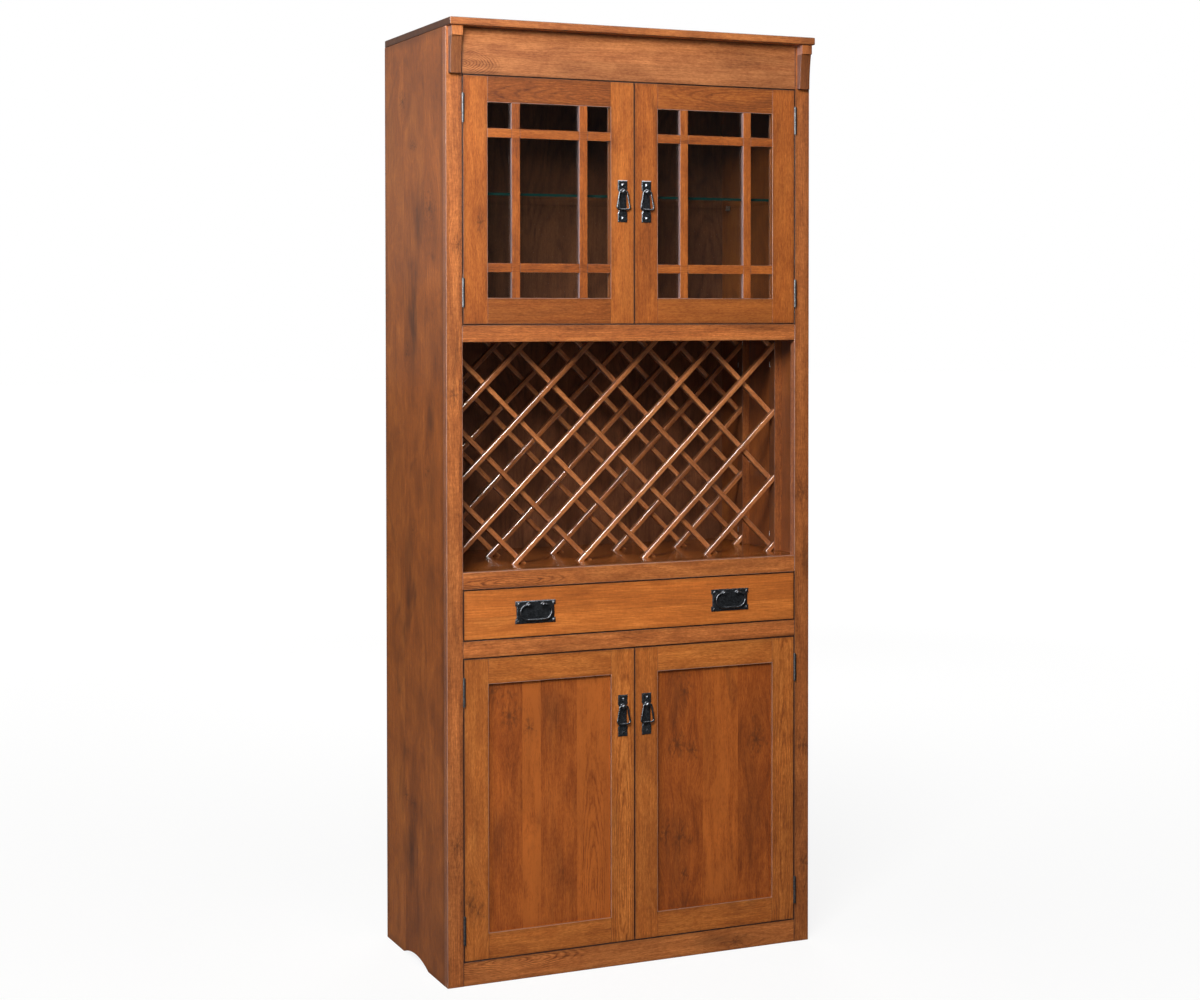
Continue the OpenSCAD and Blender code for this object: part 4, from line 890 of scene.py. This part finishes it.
pull_iron = blackened_iron("wrought iron", (0.055, 0.060, 0.067), 0.16, 0.3)
plate_t, plate_softening = 0.0025, 0.00025
bevel_run, bevel_fall = 0.0019, 0.0014
hammered_step, edge_wander, corner_wander = 0.004, 0.00013, 0.00005
rough = random.Random(7)


def turned_into(mesh, profile, foot, axis, steps):
    """Adds a turned form to a mesh. profile is (radius, height) from the foot to the top."""
    axis = Vector(axis)
    side = axis.orthogonal().normalized()
    other = axis.cross(side)
    angles = [2 * math.pi * i / steps for i in range(steps)]
    rounds = []
    for radius, height in profile:
        middle = Vector(foot) + axis * height
        rounds.append([mesh.verts.new(middle + radius * (side * math.cos(a) + other * math.sin(a)))
                       for a in (angles if radius else angles[:1])])
    for low, high in zip(rounds, rounds[1:]):
        for i in range(steps):
            j = (i + 1) % steps
            top = (high[j], high[i]) if len(high) > 1 else (high[0],)
            mesh.faces.new((low[i], low[j], *top))
    for last in (rounds[0], rounds[-1]):
        if len(last) > 1:
            mesh.faces.new(last)


def moved_in(corners, run):
    """An outline moved inwards all round. The corners go round against the clock."""
    moved = []
    for before, here, after in zip(corners[-1:] + corners[:-1], corners, corners[1:] + corners[:1]):
        first, second = (here - before).normalized(), (after - here).normalized()
        inwards = Vector((-first.y - second.y, first.x + second.x)).normalized()
        moved.append(here + inwards * run / max(0.5, inwards.dot(Vector((-first.y, first.x)))))
    return moved


def forged_plate(mesh, quarter, middle_x, middle_z, back):
    """Adds a bevelled iron plate. quarter is the outline's upper right part, from the side to
    the top, and the hammer leaves the edge a little uneven."""
    half = [Vector(c) for c in quarter] + [Vector((-x, y)) for x, y in reversed(quarter)]
    outline = half + [-c for c in half]
    corners = []
    for here, after in zip(outline, outline[1:] + outline[:1]):
        pieces = max(1, round((after - here).length / hammered_step))
        for i in range(pieces):
            wander = edge_wander if i else corner_wander
            astray = Vector((rough.uniform(-wander, wander), rough.uniform(-wander, wander)))
            corners.append(here.lerp(after, i / pieces) + astray)
    rounds = []
    for run, rise in ((0, 0), (0, plate_t - bevel_fall), (bevel_run, plate_t)):
        rounds.append([mesh.verts.new((middle_x + c.x, back - rise, middle_z + c.y))
                       for c in (moved_in(corners, run) if run else corners)])
    for low, high in zip(rounds, rounds[1:]):
        for i in range(len(low)):
            j = (i + 1) % len(low)
            mesh.faces.new((low[i], low[j], high[j], high[i]))
    mesh.faces.new(rounds[0])
    mesh.faces.new(rounds[-1])


seated = -0.0003


def nail_head(mesh, x, z, front, radius, height):
    """Adds the hammered four-sided head of a nail."""
    profile = ((radius, seated), (radius, 0.0004), (0.22 * radius, height), (0, height + 0.0001))
    turned_into(mesh, profile, (x, front, z), (0, -1, 0), 4)


def boss(mesh, x, z, front, radius, out=0.0044):
    """Adds the domed boss that the ring or bail hangs from."""
    dome = [(radius * math.cos(math.radians(a)), out + radius * math.sin(math.radians(a)))
            for a in range(15, 90, 15)]
    foot = ((1.16 * radius, seated), (1.16 * radius, 0.0006), (1.02 * radius, 0.0012),
            (0.97 * radius, 0.0024))
    turned_into(mesh, (*foot, (radius, out), *dome, (0, out + radius)), (x, front, z), (0, -1, 0),
                24)


door_plate = ((0.00985, 0.0), (0.00985, 0.0225), (0.012, 0.0265), (0.012, 0.0475))
boss_up, nail_up = 0.0215, 0.0375
for door in door_grain:
    low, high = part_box(door + "_pull_plate")
    x, z, back = (low[0] + high[0]) / 2, (low[2] + high[2]) / 2, high[1]
    mesh = bmesh.new()
    forged_plate(mesh, door_plate, x, z, back)
    boss(mesh, x, z + boss_up, back - plate_t, radius=0.006)
    for nail_z in (z - nail_up, z + nail_up):
        nail_head(mesh, x, nail_z, back - plate_t, radius=0.0042, height=0.0028)
    plate = made(door + "_forged_plate", mesh, door, "iron", pull_iron, softened=plate_softening)
    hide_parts(door + "_pull_plate")
    dress(door + "_pull_ring", pull_iron)

drawer_plate = ((0.0457, 0.0), (0.0457, 0.014), (0.0485, 0.014), (0.0485, 0.0255))
plate_across = 0.244
post_across, post_up = 0.0175, 0.0165
nail_across, nail_up = 0.042, 0.0195
low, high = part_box("drawer_pull_plates")
z, back = (low[2] + high[2]) / 2, high[1]
mesh = bmesh.new()
for x in (-plate_across, plate_across):
    forged_plate(mesh, drawer_plate, x, z, back)
    for across in (-1, 1):
        boss(mesh, x + post_across * across, z + post_up, back - plate_t, radius=0.0045)
        for up in (-1, 1):
            nail_head(mesh, x + nail_across * across, z + nail_up * up, back - plate_t,
                      radius=0.0036, height=0.0024)
plates = made("drawer_forged_plates", mesh, "drawer", "iron", pull_iron, softened=plate_softening)
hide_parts("drawer_pull_plates")
for name in ("drawer_bail_left", "drawer_bail_right"):
    dress(name, pull_iron)

# Small fixings: upright staples hold the lattice to its cleats, hinge leaves are screwed on
# flush, screws go from the drawer box into its front, and brads hold the back panel.


def crossed_screw(mesh, foot, axis, radius, height):
    """Adds a screw head with its cross recess as a dark block, painted shade for the hollow."""
    profile = ((1, 0), (1, 0.35), (0.75, 0.85), (0.4, 1))
    turned_into(mesh, [(out * radius, up * height) for out, up in profile], foot, axis, 16)
    axis = Vector(axis)
    side = axis.orthogonal().normalized()
    half_long, half_wide = 0.55 * radius, 0.13 * radius
    # The cross recess is a dark block that stands in for the shade in its hollow
    for turn in (side, axis.cross(side)):
        other = axis.cross(turn)
        corners = [mesh.verts.new(Vector(foot) + axis * (height + rise) + turn * a * half_long
                                  + other * b * half_wide)
                   for rise in (-0.2 * height, 0.06 * height)
                   for a, b in ((-1, -1), (1, -1), (1, 1), (-1, 1))]
        for face in ((0, 1, 2, 3), (4, 5, 6, 7), (0, 1, 5, 4), (1, 2, 6, 5), (2, 3, 7, 6),
                     (3, 0, 4, 7)):
            mesh.faces.new([corners[i] for i in face]).material_index = 1


bright_wire = plated_steel("bright wire", (0.62, 0.63, 0.65), 0.25, (500, 500, 500))
painted_recess_shade = blackened_iron("screw recess", (0.015, 0.015, 0.016), 0.5, 0.1)

brad_margin, brad_pitch, brads_across, brad_r = 0.006, 0.118, 7, 0.0012
brad_head = ((brad_r, -0.0005), (brad_r, 0.0002), (0.6 * brad_r, 0.0005), (0, 0.0006))
low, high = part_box("back_panel")
brads_up = round((high[2] - low[2]) / brad_pitch)
brad_places = [(x, low[2] + (i + 0.5) * (high[2] - low[2]) / brads_up)
               for x in (low[0] + brad_margin, high[0] - brad_margin) for i in range(brads_up)]
for floor in ("cupboard_floor", "drawer_deck", "wine_bay_floor", "display_floor"):
    floor_low, floor_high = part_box(floor)
    brad_places += [(low[0] + (i + 0.5) * (high[0] - low[0]) / brads_across,
                     (floor_low[2] + floor_high[2]) / 2) for i in range(brads_across)]
brads = bmesh.new()
for x, z in brad_places:
    turned_into(brads, brad_head, (x, high[1], z), (0, 1, 0), 10)
made("back_panel_brads", brads, "cabinet", "steel", bright_wire)

staples = bmesh.new()
staple_middle, staple_size = 0.4154, (0.0012, 0.0011, 0.0125)
staple_places = ((-0.0757, 1.366), (-0.0757, 0.9575), (0.0875, 1.36), (0.0875, 0.9525))
for sign in (-1, 1):
    for y, z in staple_places:
        block_into(staples, (sign * staple_middle, y, z), staple_size)
made("lattice_staples", staples, "cabinet", "steel", bright_wire, softened=0.0003)

screws = bmesh.new()
low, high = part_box("drawer_box")
for x in (-0.30, -0.11, 0.11, 0.30):
    crossed_screw(screws, (x, low[1] + drawer_board, (low[2] + high[2]) / 2), (0, 1, 0),
                  radius=0.0042, height=0.0016)
made("drawer_front_screws", screws, "drawer", "steel", bright_wire, painted_recess_shade)

hinge_heights = {"glass": (1.9404, 1.5351), "panel": (0.6534, 0.1246)}
hinge_screws = ((-0.021, -0.1870), (0.0, -0.1925), (0.021, -0.1870))
hinge_screw = {"radius": 0.0025, "height": 0.00003}
case_leaf, door_leaf = 0.41475, 0.41465
case_screws = bmesh.new()
for side, sign in (("left", -1), ("right", 1)):
    for kind, heights in hinge_heights.items():
        door = kind + "_door_" + side
        door_screws = bmesh.new()
        for height in heights:
            for up, y in hinge_screws:
                z = height + up
                crossed_screw(case_screws, (sign * case_leaf, y, z), (-sign, 0, 0), **hinge_screw)
                crossed_screw(door_screws, (sign * door_leaf, y, z), (sign, 0, 0), **hinge_screw)
        made(door + "_hinge_screws", door_screws, door, "steel", hinge_steel, painted_recess_shade)
made("hinge_case_screws", case_screws, "cabinet", "steel", hinge_steel, painted_recess_shade)
